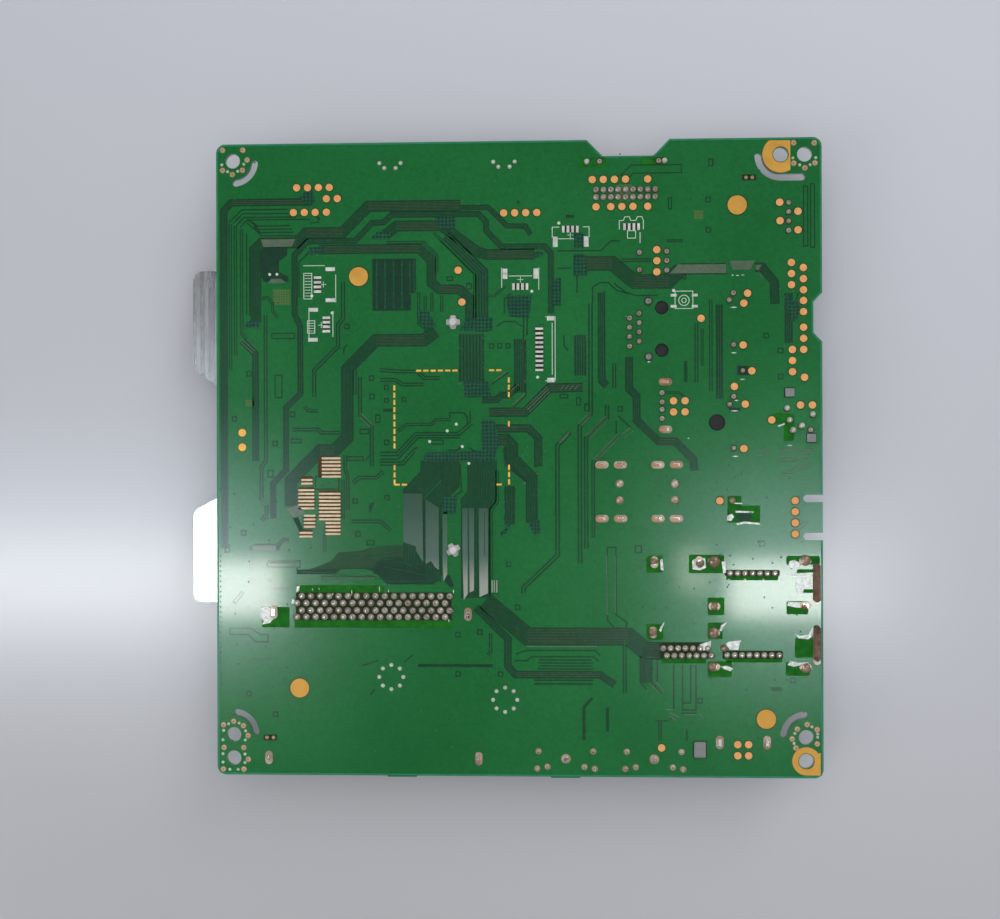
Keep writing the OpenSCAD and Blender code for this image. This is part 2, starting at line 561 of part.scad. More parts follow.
// ---- Heat spreader, its pins and the chips under it ----
spreader_top = at(0, 139).y;
spreader_low = at(0, 53).y;
push_r = 1.45;
spreader_depth = spreader_gap + sheet_t;
boss_face = processor_h + thermal_t;
spreader_x = [5, spreader_w];
window = [12, 6];

function spreader_outline() =
    let (t = -tab_out, tab = spreader_top - 32.5)
    rounded_path([[t, spreader_top], [t, tab + 5], [1, tab - 1], [1, spreader_low + 24], [t + 1, spreader_low + 19.7],
        [t, spreader_low + 18.5], [t, spreader_low - 6.2], [6, spreader_low - 6.2], [6, spreader_low], [spreader_w, spreader_low], [spreader_w, spreader_top]],
        [3, 6, 4, 1, 0, 1.5, 2.5, 1, 0, 2, 2]);

module spreader_flange(y) difference() {
    slab([spreader_x[0] + 6, y, 0], [spreader_x[1] - 3, y + sheet_t, stand_off - spreader_depth]);
    for (x = row((spreader_x[0] + spreader_x[1]) / 2, 4, window.x + 6))
        slab([x - window.x / 2, y - through, -through], [x + window.x / 2, y + sheet_t + through, window.y]);
}

module heat_spreader() color("lightgray") difference() {
    union() {
        translate([0, 0, stand_off - spreader_depth]) linear_extrude(sheet_t) polygon(spreader_outline());
        spreader_flange(spreader_low);
        spreader_flange(spreader_top - sheet_t);
        translate([processor_c.x, processor_c.y, stand_off - spreader_gap])
            linear_extrude(spreader_gap - boss_face) rounded([boss_w, boss_w], 3);
    }
    translate([processor_c.x, processor_c.y, stand_off - spreader_depth - through])
        linear_extrude(spreader_depth - boss_face - sheet_t + through) rounded([boss_w, boss_w] - 2 * [sheet_t, sheet_t], 2);
    for (p = push_pin_cs) translate([p.x, p.y, stand_off - spreader_depth - through])
        cylinder(r = push_r + clear, h = sheet_t + 2 * through);
}

module thermal_pad() color("lightsteelblue")
    parts_block(processor_c, [processor_w - 1, processor_w - 1, thermal_t], processor_h);

head_depth = 13;
head_t = 1.6;
snap_h = 1.8;

// A push pin: round head, shank and a four-lobed snap end above the board
module push_pin() {
    translate([0, 0, stand_off - head_depth - head_t]) cylinder(r = 4, h = head_t);
    translate([0, 0, stand_off - head_depth]) cylinder(r = push_r, h = head_depth + board_t);
    translate([0, 0, deck]) intersection() {
        rotate_extrude() polygon([[0, 0], [1.9, 0], [1.9, 0.4], [0.9, snap_h], [0, snap_h]]);
        for (a = [0, 90]) rotate(a) translate([-2.5, -0.75, 0]) cube([5, 1.5, snap_h]);
    }
}

module push_pins() color("whitesmoke") for (i = [0, 1])
    translate([push_pin_cs[i].x, push_pin_cs[i].y, 0]) rotate(30 * i) push_pin();

// A coil spring as a tube swept along a helix
spring_turns = 5;
spring_wire = 0.3;
spring_sides = 6;
spring_steps = 14;
module spring(r, h) {
    rings = spring_turns * spring_steps;
    points = [for (i = [0:rings], j = [0:spring_sides - 1])
        let (a = i * 360 / spring_steps, b = j * 360 / spring_sides, q = r + spring_wire * cos(b))
        [q * cos(a), q * sin(a), spring_wire + (h - 2 * spring_wire) * i / rings + spring_wire * sin(b)]];
    last = rings * spring_sides;
    polyhedron(points, [
        [for (j = [0:spring_sides - 1]) j],
        [for (j = [spring_sides - 1:-1:0]) last + j],
        for (i = [0:rings - 1], j = [0:spring_sides - 1]) let (k = (j + 1) % spring_sides)
            [(i + 1) * spring_sides + j, (i + 1) * spring_sides + k, i * spring_sides + k, i * spring_sides + j]
    ]);
}

module push_pin_springs() color("silver") for (p = push_pin_cs)
    translate([p.x, p.y, stand_off - head_depth]) spring(2.6, head_depth - spreader_depth);

// A chip package in two steps, seated on the board
module package(c, size, step = 0.6) {
    parts_block(c, [size.x, size.y, size.z * 0.4]);
    parts_block(c, [size.x - 2 * step, size.y - 2 * step, size.z * 0.6], size.z * 0.4);
}

module main_processor() color("dimgray") package(processor_c, [processor_w, processor_w, processor_h], 1.2);

MEMORY = [[36, 107], [36, 93], [36, 79], [62, 74.5]];
module memory_chips() color("black") for (m = placed(MEMORY)) package(m, [12, 8, memory_h], 0.2);

module flash_memory() color("black") package(at(20, 112), [11.5, 13, memory_h], 0.2);

// A small package with bent leads along its two long sides
module lead_package(c, size, count, step) {
    parts_block(c, size - [2, 0, 0.3], 0.3);
    for (y = row(0, count, step), s = [-1, 1]) {
        parts_block(c + [s * (size.x / 2 - 0.7), y], [0.6, 0.4, size.z / 2 + 0.1]);
        parts_block(c + [s * (size.x / 2 - 0.2), y], [0.6, 0.4, 0.2]);
    }
}

module sound_amplifier() color("black") lead_package(at(141.5, 163), [8, 12.5, 1.6], 12, 1);

REGULATORS = [[132, 150], [92, 154], [20, 164], [96, 34], [84, 43]];
module regulators() color("black") for (p = placed(REGULATORS)) lead_package(p, [6, 5, 1.6], 4, 1.27);

CAPACITORS = [[60, 162], [131.5, 162], [36, 161], [85, 24], [110, 20], [107, 52], [107, 147]];
base_t = 1.5;
module capacitor_cans() color("silver") for (c = placed(CAPACITORS))
    translate([c.x, c.y, stand_off - capacitor_h]) rotate_extrude()
        polygon([[0, 0.3], [capacitor_d * 0.42, 0.3], [capacitor_d / 2 - 0.3, 0], [capacitor_d / 2, 0.4],
            [capacitor_d / 2, capacitor_h - base_t - 1.4], [capacitor_d / 2 - 0.4, capacitor_h - base_t - 0.9],
            [capacitor_d / 2, capacitor_h - base_t - 0.4], [capacitor_d / 2, capacitor_h - base_t],
            [0, capacitor_h - base_t]]);

module capacitor_bases() color("black") for (c = placed(CAPACITORS))
    translate([c.x, c.y, stand_off - base_t]) linear_extrude(base_t) difference() {
        square(capacitor_d + 0.3, center = true);
        for (y = [-1, 1]) translate([(capacitor_d + 0.3) / 2, y * (capacitor_d + 0.3) / 2])
            rotate(45) square(capacitor_d / 4, center = true);
    }

INDUCTORS = [[94, 166], [76, 162], [96, 22], [143, 150]];
module inductors() color("dimgray") for (c = placed(INDUCTORS))
    translate([c.x, c.y, stand_off]) mirror([0, 0, 1]) {
        linear_extrude(1) rounded([inductor_w, inductor_w], 1.5);
        translate([0, 0, 1]) cylinder(d = inductor_w * 0.7, h = 2.4);
        translate([0, 0, 3.4]) linear_extrude(1) rounded([inductor_w, inductor_w], 1.5);
    }

module crystal() color("silver") translate([at(49, 118).x, at(49, 118).y, stand_off - 3.4]) {
    linear_extrude(3) bar(11, 4.2);
    translate([0, 0, 3]) linear_extrude(0.4) bar(11.8, 5);
}

// Rows of small resistors and capacitors: [first, step, count]
SMALL = [[[86, 128], [0, -2.2], 8], [[96, 128], [0, -2.2], 10], [[90, 60], [2.4, 0], 5],
    [[66, 146], [2.2, 0], 8], [[28, 142], [2.2, 0], 7], [[130, 88], [0, -2.2], 6], [[152, 110], [0, 2.2], 8],
    [[118, 28], [2.2, 0], 5], [[150, 84], [2.2, 0], 4], [[50, 74], [0, -2.2], 5], [[84, 104], [0, -2.2], 6],
    [[12, 128], [0, -2.2], 6], [[47.5, 104], [0, -2.2], 7], [[30, 60], [2.2, 0], 9], [[30, 66], [2.2, 0], 7],
    [[12, 100], [0, -2.2], 8], [[75, 118], [0, -2.2], 3], [[58, 128], [0, -2.2], 4], [[100, 94], [0, -2.2], 7],
    [[91, 98], [0, -2.2], 8], [[113, 64], [2.2, 0], 7], [[136, 82], [0, -2.2], 6], [[146, 82], [0, -2.2], 5],
    [[42, 150], [2.2, 0], 6], [[70, 153], [2.2, 0], 6], [[12, 152], [2.2, 0], 5], [[104, 124], [0, -2.2], 6],
    [[130, 27], [0, -2.2], 3], [[90, 46], [2.4, 0], 3], [[143, 22], [2.2, 0], 5]];
chip = [0.8, 1.6, 0.7];
module small_parts() color("tan") for (s = SMALL, i = [0:s[2] - 1])
    parts_block(at(s[0].x, s[0].y) + i * s[1], s[1].x > 0 ? chip : [chip.y, chip.x, chip.z]);

// ---- Card slot ----
slot_h = card_t + slot_play + 2.4;
header_l = 10;
slot_floor = 1.2;
guide_top = card_c.y - header_l / 2;
guide_low = guide_top - guide_l;

module card_slot_header() color("ivory") difference() {
    parts_block(card_c, [slot_w + 2 * rail_w, header_l, slot_h]);
    for (s = [-1, 1]) parts_block(card_c + [s * (slot_w / 2 + rail_w - 2), header_l / 2 - 1.5], [5, 4, slot_h - 3], 3);
}

// Two rails with the groove that the card's edges run in
module card_slot_guide() color("ivory") for (s = [-1, 1]) difference() {
    parts_block([card_c.x + s * (slot_w / 2 + rail_w / 2 - 0.75), (guide_top + guide_low) / 2],
        [rail_w + 1.5, guide_l, slot_h]);
    parts_block([card_c.x, (guide_top + guide_low) / 2 - 1], [slot_w, guide_l + 2, card_t + slot_play], slot_floor);
}

// Steel cover with windows and folded sides
module card_slot_cover() color("silver") {
    mid = [card_c.x, (guide_top + guide_low) / 2];
    difference() {
        parts_block(mid, [2 * card_side + cover_t, guide_l, cover_t], slot_h);
        for (x = [-16, 0, 16]) parts_block(mid + [x, -1], [10, guide_l - 16, cover_t + 2], slot_h - 1);
    }
    for (s = [-1, 1]) parts_block(mid + [s * card_side, 0], [cover_t, guide_l, slot_h]);
    for (l = card_lugs) lug(l);
}

module card_slot_pins() color("gold") {
    leads(card_leads);
    for (c = header_clips) translate([0, 0, shell_t]) lug(c);
    for (i = [0:33], r = [0, 1]) translate([card_c.x + (i - 16.5) * card_pitch / 2, guide_top,
        stand_off - slot_floor - (card_t + slot_play) / 2 + (r - 0.5) * 1.27])
        rotate([90, 0, 0]) cylinder(r = 0.22, h = 5 + r, $fn = 16);
}

// ---- Power and speaker headers ----
power_l = 10;
wall = 1;
module power_header() color("ivory") {
    w = 8 * power_pitch + 8;
    back = power_c.y - 2.4;
    difference() {
        slab([power_c.x + 0.7 - w / 2, back, stand_off - power_h],
            [power_c.x + 0.7 + w / 2, back + power_l + 2.4, stand_off]);
        slab([power_c.x + 0.7 - w / 2 + wall, back + 5, stand_off - power_h + wall],
            [power_c.x + 0.7 + w / 2 - wall, back + power_l + 2.4 + through, stand_off - wall]);
        slab([power_c.x + 0.7 - 2, back + 5, stand_off - power_h - through],
            [power_c.x + 0.7 + 2, back + power_l + 2.4 + through, stand_off - power_h + 2]);
    }
}

module power_header_pins() color("gold") {
    leads(power_leads);
    leads(header_lugs);
    for (x = row(0, 9, power_pitch), z = [-1, 1])
        translate([power_c.x + x, power_c.y + 2.6, stand_off - power_h / 2 + z])
            rotate([-90, 0, 0]) cylinder(r = 0.25, h = 5.5, $fn = 16);
}

module speaker_header() color("white") {
    l = 3 * speaker_pitch + 5;
    difference() {
        parts_block(speaker_c, [5.8, l, 7]);
        parts_block(speaker_c + [0.4, 0], [4, l - 2 * wall, 6], 1.6);
        parts_block(speaker_c + [2.6, 0], [2, l - 6, 4], 4);
    }
}

module speaker_header_pins() color("gold") {
    leads(speaker_leads);
    for (p = speaker_leads) parts_post(p, 0.3, 4, 1.6);
}

// ---- Sockets ----
module optical_output() color("#222222") difference() {
    parts_block(optical_c, [9.6, 9.8, optical_h]);
    parts_block(optical_c, [6.4, 6.4, 8], optical_h - 7);
    for (s = [-1, 1]) parts_block(optical_c + [0, s * 3], [5, 2.4, 8], optical_h - 7);
}
module optical_leads() color("silver") leads(optical_leads_at);

peg_r = 1.6;
network_w = 16;
module network_jack_shell() color("silver") difference() {
    union() {
        parts_block(network_c, [network_w, network_w, network_h]);
        for (p = network_shield_leads) lead(p, 2 * lead_r);
    }
    parts_block(network_c, [network_w - 2 * shell_t, network_w - 2 * shell_t, network_h + 2 * through], -through);
    for (s = [-1, 1], x = [-3.5, 3.5]) parts_block(network_c + [x, s * (network_w - shell_t) / 2], [2.2, 2, 5], network_h - 6.5);
}

module network_jack_insert() color("#222222") {
    inner = network_w - 2 * shell_t - 2 * clear;
    difference() {
        parts_block(network_c, [inner, inner, network_h - 0.3]);
        parts_block(network_c + [1, 0], [6.8, 11.8, 13], network_h - 12);
        parts_block(network_c + [5, 0], [3, 6.2, 13], network_h - 12);
    }
    for (p = network_pegs) translate([p.x, p.y, stand_off]) cylinder(r = peg_r, h = board_t - 0.2);
}

module network_jack_pins() color("gold") {
    leads(network_leads);
    for (y = row(0, 8, 1.02)) parts_block(network_c + [-1.9, y], [0.4, 0.4, 8], network_h - 11);
}

// Outline of a socket's mouth, long along Y, with the two corners of its +X side cut
function mouth(w, l, cut) = [[-w / 2, -l / 2], [w / 2 - 0.8 * cut, -l / 2], [w / 2, -l / 2 + cut],
    [w / 2, l / 2 - cut], [w / 2 - 0.8 * cut, l / 2], [-w / 2, l / 2]];

module mouth_post(c, size, cut, start = 0) translate([c.x, c.y, stand_off - start - size.z])
    linear_extrude(size.z) polygon(mouth(size.x, size.y, cut));

// An upright stamped shell with a turned-out lip and two spring fingers in each long wall
lip_t = 0.5;
finger = [0.25, 1.4, 5];
shell_floor = 1;
module socket_shell(c, size, cut, lugs, fingers) {
    wall_x = (size.x - shell_t) / 2;
    difference() {
        union() {
            mouth_post(c, size, cut);
            mouth_post(c, [size.x + 2 * lip_t, size.y + 2 * lip_t, lip_t], cut, size.z - lip_t);
        }
        mouth_post(c, [size.x - 2 * shell_t, size.y - 2 * shell_t, size.z], cut, shell_floor);
        for (y = fingers, s = [-1, 1])
            parts_block(c + [s * wall_x, y], [3 * shell_t, finger.y + 1, finger.z + 0.6], size.z - finger.z - 2);
    }
    for (y = fingers, s = [-1, 1])
        parts_block(c + [s * (wall_x - 0.1), y], [finger.x, finger.y, finger.z + 0.8], size.z - finger.z - 2.6);
    for (l = lugs) lug(l);
}

// Moulding inside such a shell: a base against the floor and a tongue
module socket_tongue(c, size, cut, base_h, tongue_w, tongue_l, tongue_h, off = 0) {
    play = 2 * (shell_t + clear);
    mouth_post(c, [size.x - play, size.y - play, base_h], cut, shell_floor);
    parts_block(c + [off, 0], [tongue_w, tongue_l, tongue_h], shell_floor + base_h);
}

data_size = [5.7, 13.2, data_socket_h];
data_cut = 0.3;
module data_socket_shell() color("silver") socket_shell(data_c, data_size, data_cut, data_lugs, [-3, 3]);
module data_socket_tongue() color("white")
    socket_tongue(data_c, data_size, data_cut, 3, 1.8, 11.2, data_socket_h - 6, -0.9);
module data_socket_pins() color("gold") {
    leads(data_leads);
    for (p = data_leads) parts_block([data_c.x + 0.1, p.y], [0.2, 1, data_socket_h - 7], shell_floor + 3);
}

screen_peg_r = 0.9;
screen_size = [5.8, 15, screen_socket_h];
screen_cut = 2;
module screen_shell(c) color("silver") socket_shell(c, screen_size, screen_cut, screen_lugs(c), [-3.2, 3.2]);
module screen_tongue(c) color("#222222") {
    socket_tongue(c, screen_size, screen_cut, 4, 1.2, 11.4, screen_socket_h - 6.5);
    for (s = [-1, 1], y = row(0, 10, 1)) parts_block(c + [s * 0.65, y], [0.2, 0.5, screen_socket_h - 7], shell_floor + 4);
}
module left_screen_shell() screen_shell(screen_left_c);
module left_screen_tongue() screen_tongue(screen_left_c);
module right_screen_shell() screen_shell(screen_right_c);
module right_screen_tongue() screen_tongue(screen_right_c);

edge_size = [13.2, 13.6, 6.2];
module edge_socket_shell() color("silver") {
    difference() {
        parts_block(edge_socket_c, edge_size);
        parts_block(edge_socket_c + [0, -1], edge_size - 2 * [shell_t, 0, shell_t], shell_t);
    }
    for (l = edge_socket_lugs) lug(l);
}
module edge_socket_tongue() color("white") {
    inner = edge_size - 2 * [shell_t + 0.1, 0, shell_t + 0.1];
    parts_block(edge_socket_c + [0, edge_size.y / 2 - 3], [inner.x, 4, inner.z], shell_t + 0.1);
    parts_block(edge_socket_c + [0, -0.6], [11.2, 8.8, 1.8], 1.6);
}

// ---- Sound and picture jacks ----
av_peg_r = 2;
av_base_h = 7;
av_w = 12.4;
module av_block() color("#333333") {
    difference() {
        parts_block(av_c, [av_w, 3 * av_pitch + 1.5, av_base_h]);
        for (y = row(0, 3, av_pitch)) parts_post(av_c + [0, y], av_sleeve_d / 2 + 0.1, av_base_h, av_base_h - 2);
    }
    translate([av_peg.x, av_peg.y, stand_off]) cylinder(r = av_peg_r, h = board_t - 0.2);
}
module av_sleeves() color("silver") for (y = row(0, 3, av_pitch)) difference() {
    union() {
        parts_post(av_c + [0, y], av_sleeve_d / 2, stand_off - av_base_h + 2, av_base_h - 2);
        parts_post(av_c + [0, y], av_sleeve_d / 2 + 0.9, 0.6, av_base_h);
    }
    parts_post(av_c + [0, y], av_sleeve_d / 2 - shell_t, stand_off, av_base_h - 1.5);
}
av_colors = ["yellow", "white", "red"];
module av_inserts() for (i = [0:2]) color(av_colors[i]) difference() {
    parts_post(av_c + [0, (i - 1) * av_pitch], av_sleeve_d / 2 - shell_t - 0.1, stand_off - av_base_h, av_base_h - 1.5);
    parts_post(av_c + [0, (i - 1) * av_pitch], 1.6, stand_off, av_base_h);
}
module av_pins() color("silver") leads(av_leads);

module side_jack() color("#222222") difference() {
    union() {
        parts_block(side_jack_c + [-0.4, 0], [11, 8.4, 5.4]);
        translate([side_jack_c.x + 5.1, side_jack_c.y, stand_off - 2.7]) rotate([0, 90, 0]) cylinder(r = 2.7, h = 1);
    }
    translate([side_jack_c.x - 3, side_jack_c.y, stand_off - 2.7]) rotate([0, 90, 0]) cylinder(r = 1.8, h = 12);
}
module side_jack_pins() color("silver") leads(side_jack_leads);

// ---- Tuners and demodulator ----
tuner_a_size = [26.4, 14.2, tuner_h];
tuner_b_size = [26.4, 11, tuner_h];
aerial_x = 8.6;

cover_skirt = 1.4;
module can(c, size, lugs) {
    difference() {
        union() {
            parts_block(c, size);
            parts_block(c, [size.x + 2 * shell_t, size.y + 2 * shell_t, cover_skirt], size.z - cover_skirt);
        }
        parts_block(c, size - 2 * [skin_t, skin_t, skin_t], skin_t);
        for (x = row(0, floor(size.x / 5), 5), s = [-1, 1])
            parts_block(c + [x, s * size.y / 2], [2, 3 * skin_t, 0.8], size.z - cover_skirt - 1.6);
    }
    for (l = lugs) lug(l);
}

module tuner_cans() color("silver") {
    can(tuner_a_c, tuner_a_size, tuner_a_lugs);
    can(tuner_b_c, tuner_b_size, tuner_b_lugs);
}

// An aerial socket: flange, threaded barrel with a hollow face, and the foot that reaches round to its lug
thread_pitch = 1;
thread_d = 0.3;
module aerial(c, lug_at) {
    barrel = stand_off - tuner_h;
    turns = floor((barrel - 3) / thread_pitch);
    difference() {
        union() {
            translate([c.x + aerial_x, c.y, 0]) rotate_extrude() polygon([[0, 0], [aerial_d / 2 - 0.5, 0],
                for (i = [0:turns - 1]) each [[aerial_d / 2, (i + 0.5) * thread_pitch],
                    [aerial_d / 2 - thread_d, (i + 1) * thread_pitch]],
                [aerial_d / 2 - thread_d, barrel], [0, barrel]]);
            parts_post(c + [aerial_x, 0], aerial_d / 2 + 0.9, 1.6, tuner_h);
            parts_block([lug_at[0].x, lug_at[0].y], [lug_t, lug_at[2] + 1, tuner_h + 1.2]);
            slab([c.x + aerial_x, lug_at[0].y - lug_at[2] / 2 - 0.5, barrel - 1.2],
                [lug_at[0].x + lug_t / 2, lug_at[0].y + lug_at[2] / 2 + 0.5, barrel]);
            lug(lug_at);
        }
        translate([c.x + aerial_x, c.y, -through]) {
            cylinder(r = 3.2, h = through + 1.5);
            cylinder(r = 1, h = barrel);
        }
    }
}

module aerial_sockets() color("silver") {
    aerial(tuner_a_c, tuner_slot_lugs[0]);
    aerial(tuner_b_c, tuner_slot_lugs[1]);
}
module tuner_pins() color("silver") leads([each tuner_a_leads, each tuner_b_leads]);

demodulator_size = [14.2, 27.4, demodulator_h];
module demodulator_can() color("silver") can(demodulator_c, demodulator_size, demodulator_lugs);
module demodulator_pins() color("silver") leads(demodulator_leads);

// ---- Edge jacks ----
module edge_jacks() color("#222222") for (c = edge_jack_cs) difference() {
    union() {
        parts_block([c.x, c.y], [17, 9, edge_jack_h - 2]);
        parts_post(c, 3.6, 2, edge_jack_h - 2);
        for (s = [-1, 1]) parts_block(c + [s * 6.5, 0], [1, 9.6, edge_jack_h - 4]);
    }
    parts_post(c, 1.8, edge_jack_h, 2.4);
}
module edge_jack_pins() color("silver") {
    leads(edge_jack_leads);
    leads(edge_jack_middles, 2 * lead_r);
}

module show() translate([-(board_w - tab_out) / 2, -(board_d - stub_d) / 2, 0]) children();

show() circuit_board();
show() copper_tracks();
show() ground_pads();
show() test_pads();
show() bare_footprints();
show() comb_pads();
show() area_dashes();
show() solder_dots();
show() pin_solder();
show() lug_solder();
show() trim_capacitors();
show() heat_spreader();
show() thermal_pad();
show() push_pins();
show() push_pin_springs();
show() main_processor();
show() memory_chips();
show() flash_memory();
show() sound_amplifier();
show() regulators();
show() capacitor_cans();
show() capacitor_bases();
show() inductors();
show() crystal();
show() small_parts();
show() card_slot_header();
show() card_slot_guide();
show() card_slot_cover();
show() card_slot_pins();
show() power_header();
show() power_header_pins();
show() speaker_header();
show() speaker_header_pins();
show() optical_output();
show() optical_leads();
show() network_jack_shell();
show() network_jack_insert();
show() network_jack_pins();
show() data_socket_shell();
show() data_socket_tongue();
show() data_socket_pins();
show() edge_socket_shell();
show() edge_socket_tongue();
show() left_screen_shell();
show() left_screen_tongue();
show() right_screen_shell();
show() right_screen_tongue();
show() av_block();
show() av_sleeves();
show() av_inserts();
show() av_pins();
show() side_jack();
show() side_jack_pins();
show() tuner_cans();
show() aerial_sockets();
show() tuner_pins();
show() demodulator_can();
show() demodulator_pins();
show() edge_jacks();
show() edge_jack_pins();
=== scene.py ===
import json
import math

import bpy
import mathutils
import numpy as np
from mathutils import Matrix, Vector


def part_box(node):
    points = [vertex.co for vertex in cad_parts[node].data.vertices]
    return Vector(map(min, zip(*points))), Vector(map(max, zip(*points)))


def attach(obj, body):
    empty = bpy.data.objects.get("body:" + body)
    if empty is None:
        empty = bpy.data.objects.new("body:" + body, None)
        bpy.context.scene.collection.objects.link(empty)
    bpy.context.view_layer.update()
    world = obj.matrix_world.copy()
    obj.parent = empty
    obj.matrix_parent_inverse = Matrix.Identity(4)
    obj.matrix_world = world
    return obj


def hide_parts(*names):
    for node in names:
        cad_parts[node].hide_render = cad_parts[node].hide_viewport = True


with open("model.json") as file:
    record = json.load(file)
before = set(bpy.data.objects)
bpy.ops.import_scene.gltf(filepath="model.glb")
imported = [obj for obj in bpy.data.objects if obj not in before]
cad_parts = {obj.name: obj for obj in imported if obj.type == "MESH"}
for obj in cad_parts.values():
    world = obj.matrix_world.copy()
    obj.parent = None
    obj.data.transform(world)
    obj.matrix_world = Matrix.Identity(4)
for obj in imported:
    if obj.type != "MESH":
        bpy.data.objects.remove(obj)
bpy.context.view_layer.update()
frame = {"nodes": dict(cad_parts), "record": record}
nodes = frame["nodes"]

scene = bpy.context.scene
scene.view_settings.view_transform = "Standard"
print("frame loaded with", len(nodes), "nodes")

# ---- The board as the place of everything: millimetres from its lower left corner ----
millimetre = 0.001
boardLow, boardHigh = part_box("circuit_board")
stubDepth = 0.3 * millimetre  # the break-off stubs reach below the board's own edge
boardCorner = np.array([boardLow.x, boardLow.y + stubDepth])
deck = boardHigh.z  # solder side


def pairs(numbers):
    return np.reshape(numbers, (-1, 2))


def onBoard(places):
    # board millimetres, as pairs or as one row of numbers, to metres in the frame
    return boardCorner + pairs(places) * millimetre


# ---- Meshes from numpy arrays ----
def meshPiece(name, shape, material, smooth=False):
    # shape is an array of points and a list of index arrays, each with the corners of faces in its rows
    verts, faces = shape
    mesh = bpy.data.meshes.new(name)
    mesh.from_pydata(verts.tolist(), [], [row for block in faces for row in block.tolist()])
    mesh.validate()
    mesh.polygons.foreach_set("use_smooth", np.full(len(mesh.polygons), smooth))
    mesh.materials.append(material)
    piece = bpy.data.objects.new(name, mesh)
    scene.collection.objects.link(piece)
    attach(piece, "root")
    return piece


def sideways(path):
    # at each point of a path, the mitre vector: unit distance from the line on both sides of a bend
    steps = np.diff(path, axis=0)
    steps /= np.linalg.norm(steps, axis=1)[:, None]
    left = np.stack([-steps[:, 1], steps[:, 0]], axis=1)
    before = np.vstack([left[:1], left])
    after = np.vstack([left, left[-1:]])
    mitre = before + after
    mitre /= np.linalg.norm(mitre, axis=1)[:, None]
    return mitre / np.sum(mitre * before, axis=1)[:, None]


def ribbon(path, width, height, shift=0.0):
    # a low trapezoid carried along a path on the board, all in millimetres; shift moves it sideways
    path = onBoard(path)
    width, height = width * millimetre, height * millimetre
    slant = min(width / 4, height)
    offsets = np.array([-width / 2, -width / 2 + slant, width / 2 - slant, width / 2]) + shift * millimetre
    heights = np.array([0.0, height, height, 0.0]) + deck
    flat = path[:, None, :] + sideways(path)[:, None, :] * offsets[None, :, None]
    verts = np.concatenate([flat, np.broadcast_to(heights[None, :, None], flat.shape[:2] + (1,))], axis=2)
    count = len(path)
    rows = np.arange(count - 1)[:, None] * 4
    corner = np.arange(4)[None, :]
    following = (corner + 1) % 4
    sides = np.stack([rows + corner, rows + following, rows + 4 + following, rows + 4 + corner], axis=2).reshape(-1, 4)
    last = 4 * count
    ends = np.array([[3, 2, 1, 0], [last - 4, last - 3, last - 2, last - 1]])
    return verts.reshape(-1, 3), [np.vstack([sides, ends])]


def turned(centres, profile, sides, closed=False):
    # a profile of (radius, height) in millimetres turned round every centre: between two poles, or a closed ring
    centres = onBoard(centres)
    profile = np.asarray(profile, float) * millimetre
    ring = profile if closed else profile[1:-1]
    angle = np.arange(sides) * 2 * math.pi / sides
    circle = np.stack([np.cos(angle), np.sin(angle)], axis=1)
    flat = centres[:, None, None, :] + ring[None, :, None, 0, None] * circle[None, None, :, :]
    high = np.broadcast_to(ring[None, :, None, 1, None] + deck, flat.shape[:3] + (1,))
    body = np.concatenate([flat, high], axis=3).reshape(len(centres), -1, 3)
    levels, stride = len(ring), len(ring) * sides
    step = np.arange(sides)
    turn = (step + 1) % sides
    low = np.arange(levels if closed else levels - 1)[:, None] * sides
    high = (low + sides) % stride
    blocks = [np.stack([low + step, low + turn, high + turn, high + step], axis=2).reshape(-1, 4)]
    if not closed:
        poles = [np.column_stack([centres, np.full(len(centres), deck + profile[end, 1])]) for end in (0, -1)]
        body = np.concatenate([body, np.stack(poles, axis=1)], axis=1)
        bottom = np.stack([turn, step, np.full(sides, stride)], axis=1)
        top = np.stack([stride - sides + step, stride - sides + turn, np.full(sides, stride + 1)], axis=1)
        blocks.append(np.vstack([bottom, top]))
        stride += 2
    starts = np.arange(len(centres)) * stride
    return body.reshape(-1, 3), [(block[None] + starts[:, None, None]).reshape(-1, block.shape[1]) for block in blocks]


def rings(centres, inner, outer, height, sides=24):
    slant = 0.03
    profile = [(inner, 0), (outer, 0), (outer - slant, height), (inner + slant, height)]
    return turned(centres, profile, sides, closed=True)


def field(corners, height):
    # a flat polygon on the board, from its corners in turn either way round
    points = onBoard(corners)
    count = len(points)
    after = np.roll(points, -1, axis=0)
    if np.sum(points[:, 0] * after[:, 1] - after[:, 0] * points[:, 1]) < 0:
        points = points[::-1]
    verts = np.vstack([np.column_stack([points, np.full(count, deck + z * millimetre)]) for z in (0, height)])
    step = np.arange(count)
    turn = (step + 1) % count
    sides = np.stack([step, turn, turn + count, step + count], axis=1)
    return verts, [sides, step[None, ::-1], (step + count)[None]]


def oblong(x0, x1, y0, y1, cut=0.0):
    # a rectangle, with cut corners where cut is above nought
    if not cut:
        return [x0, y0, x1, y0, x1, y1, x0, y1]
    return [x0 + cut, y0, x1 - cut, y0, x1, y0 + cut, x1, y1 - cut,
            x1 - cut, y1, x0 + cut, y1, x0, y1 - cut, x0, y0 + cut]


def oblongs(boxes, cut=0.0):
    return [oblong(*box, cut) for box in boxes]


def joined(shapes):
    # several shapes as one, with the indices of each moved up
    verts, faces, start = [], [], 0
    for points, blocks in shapes:
        verts.append(points)
        faces += [block + start for block in blocks]
        start += len(points)
    return np.vstack(verts), faces


# ---- Shader nodes and the groups that several finishes share ----
def feed(tree, node, inputs):
    # every input from a socket of another node, or as a value of its own
    for socket, source in inputs.items():
        if isinstance(source, bpy.types.NodeSocket):
            tree.links.new(source, node.inputs[socket])
        else:
            node.inputs[socket].default_value = source
    return node


def put(tree, kind, inputs=None, **settings):
    node = tree.nodes.new(kind)
    for key, value in settings.items():
        setattr(node, key, value)
    return feed(tree, node, inputs or {})


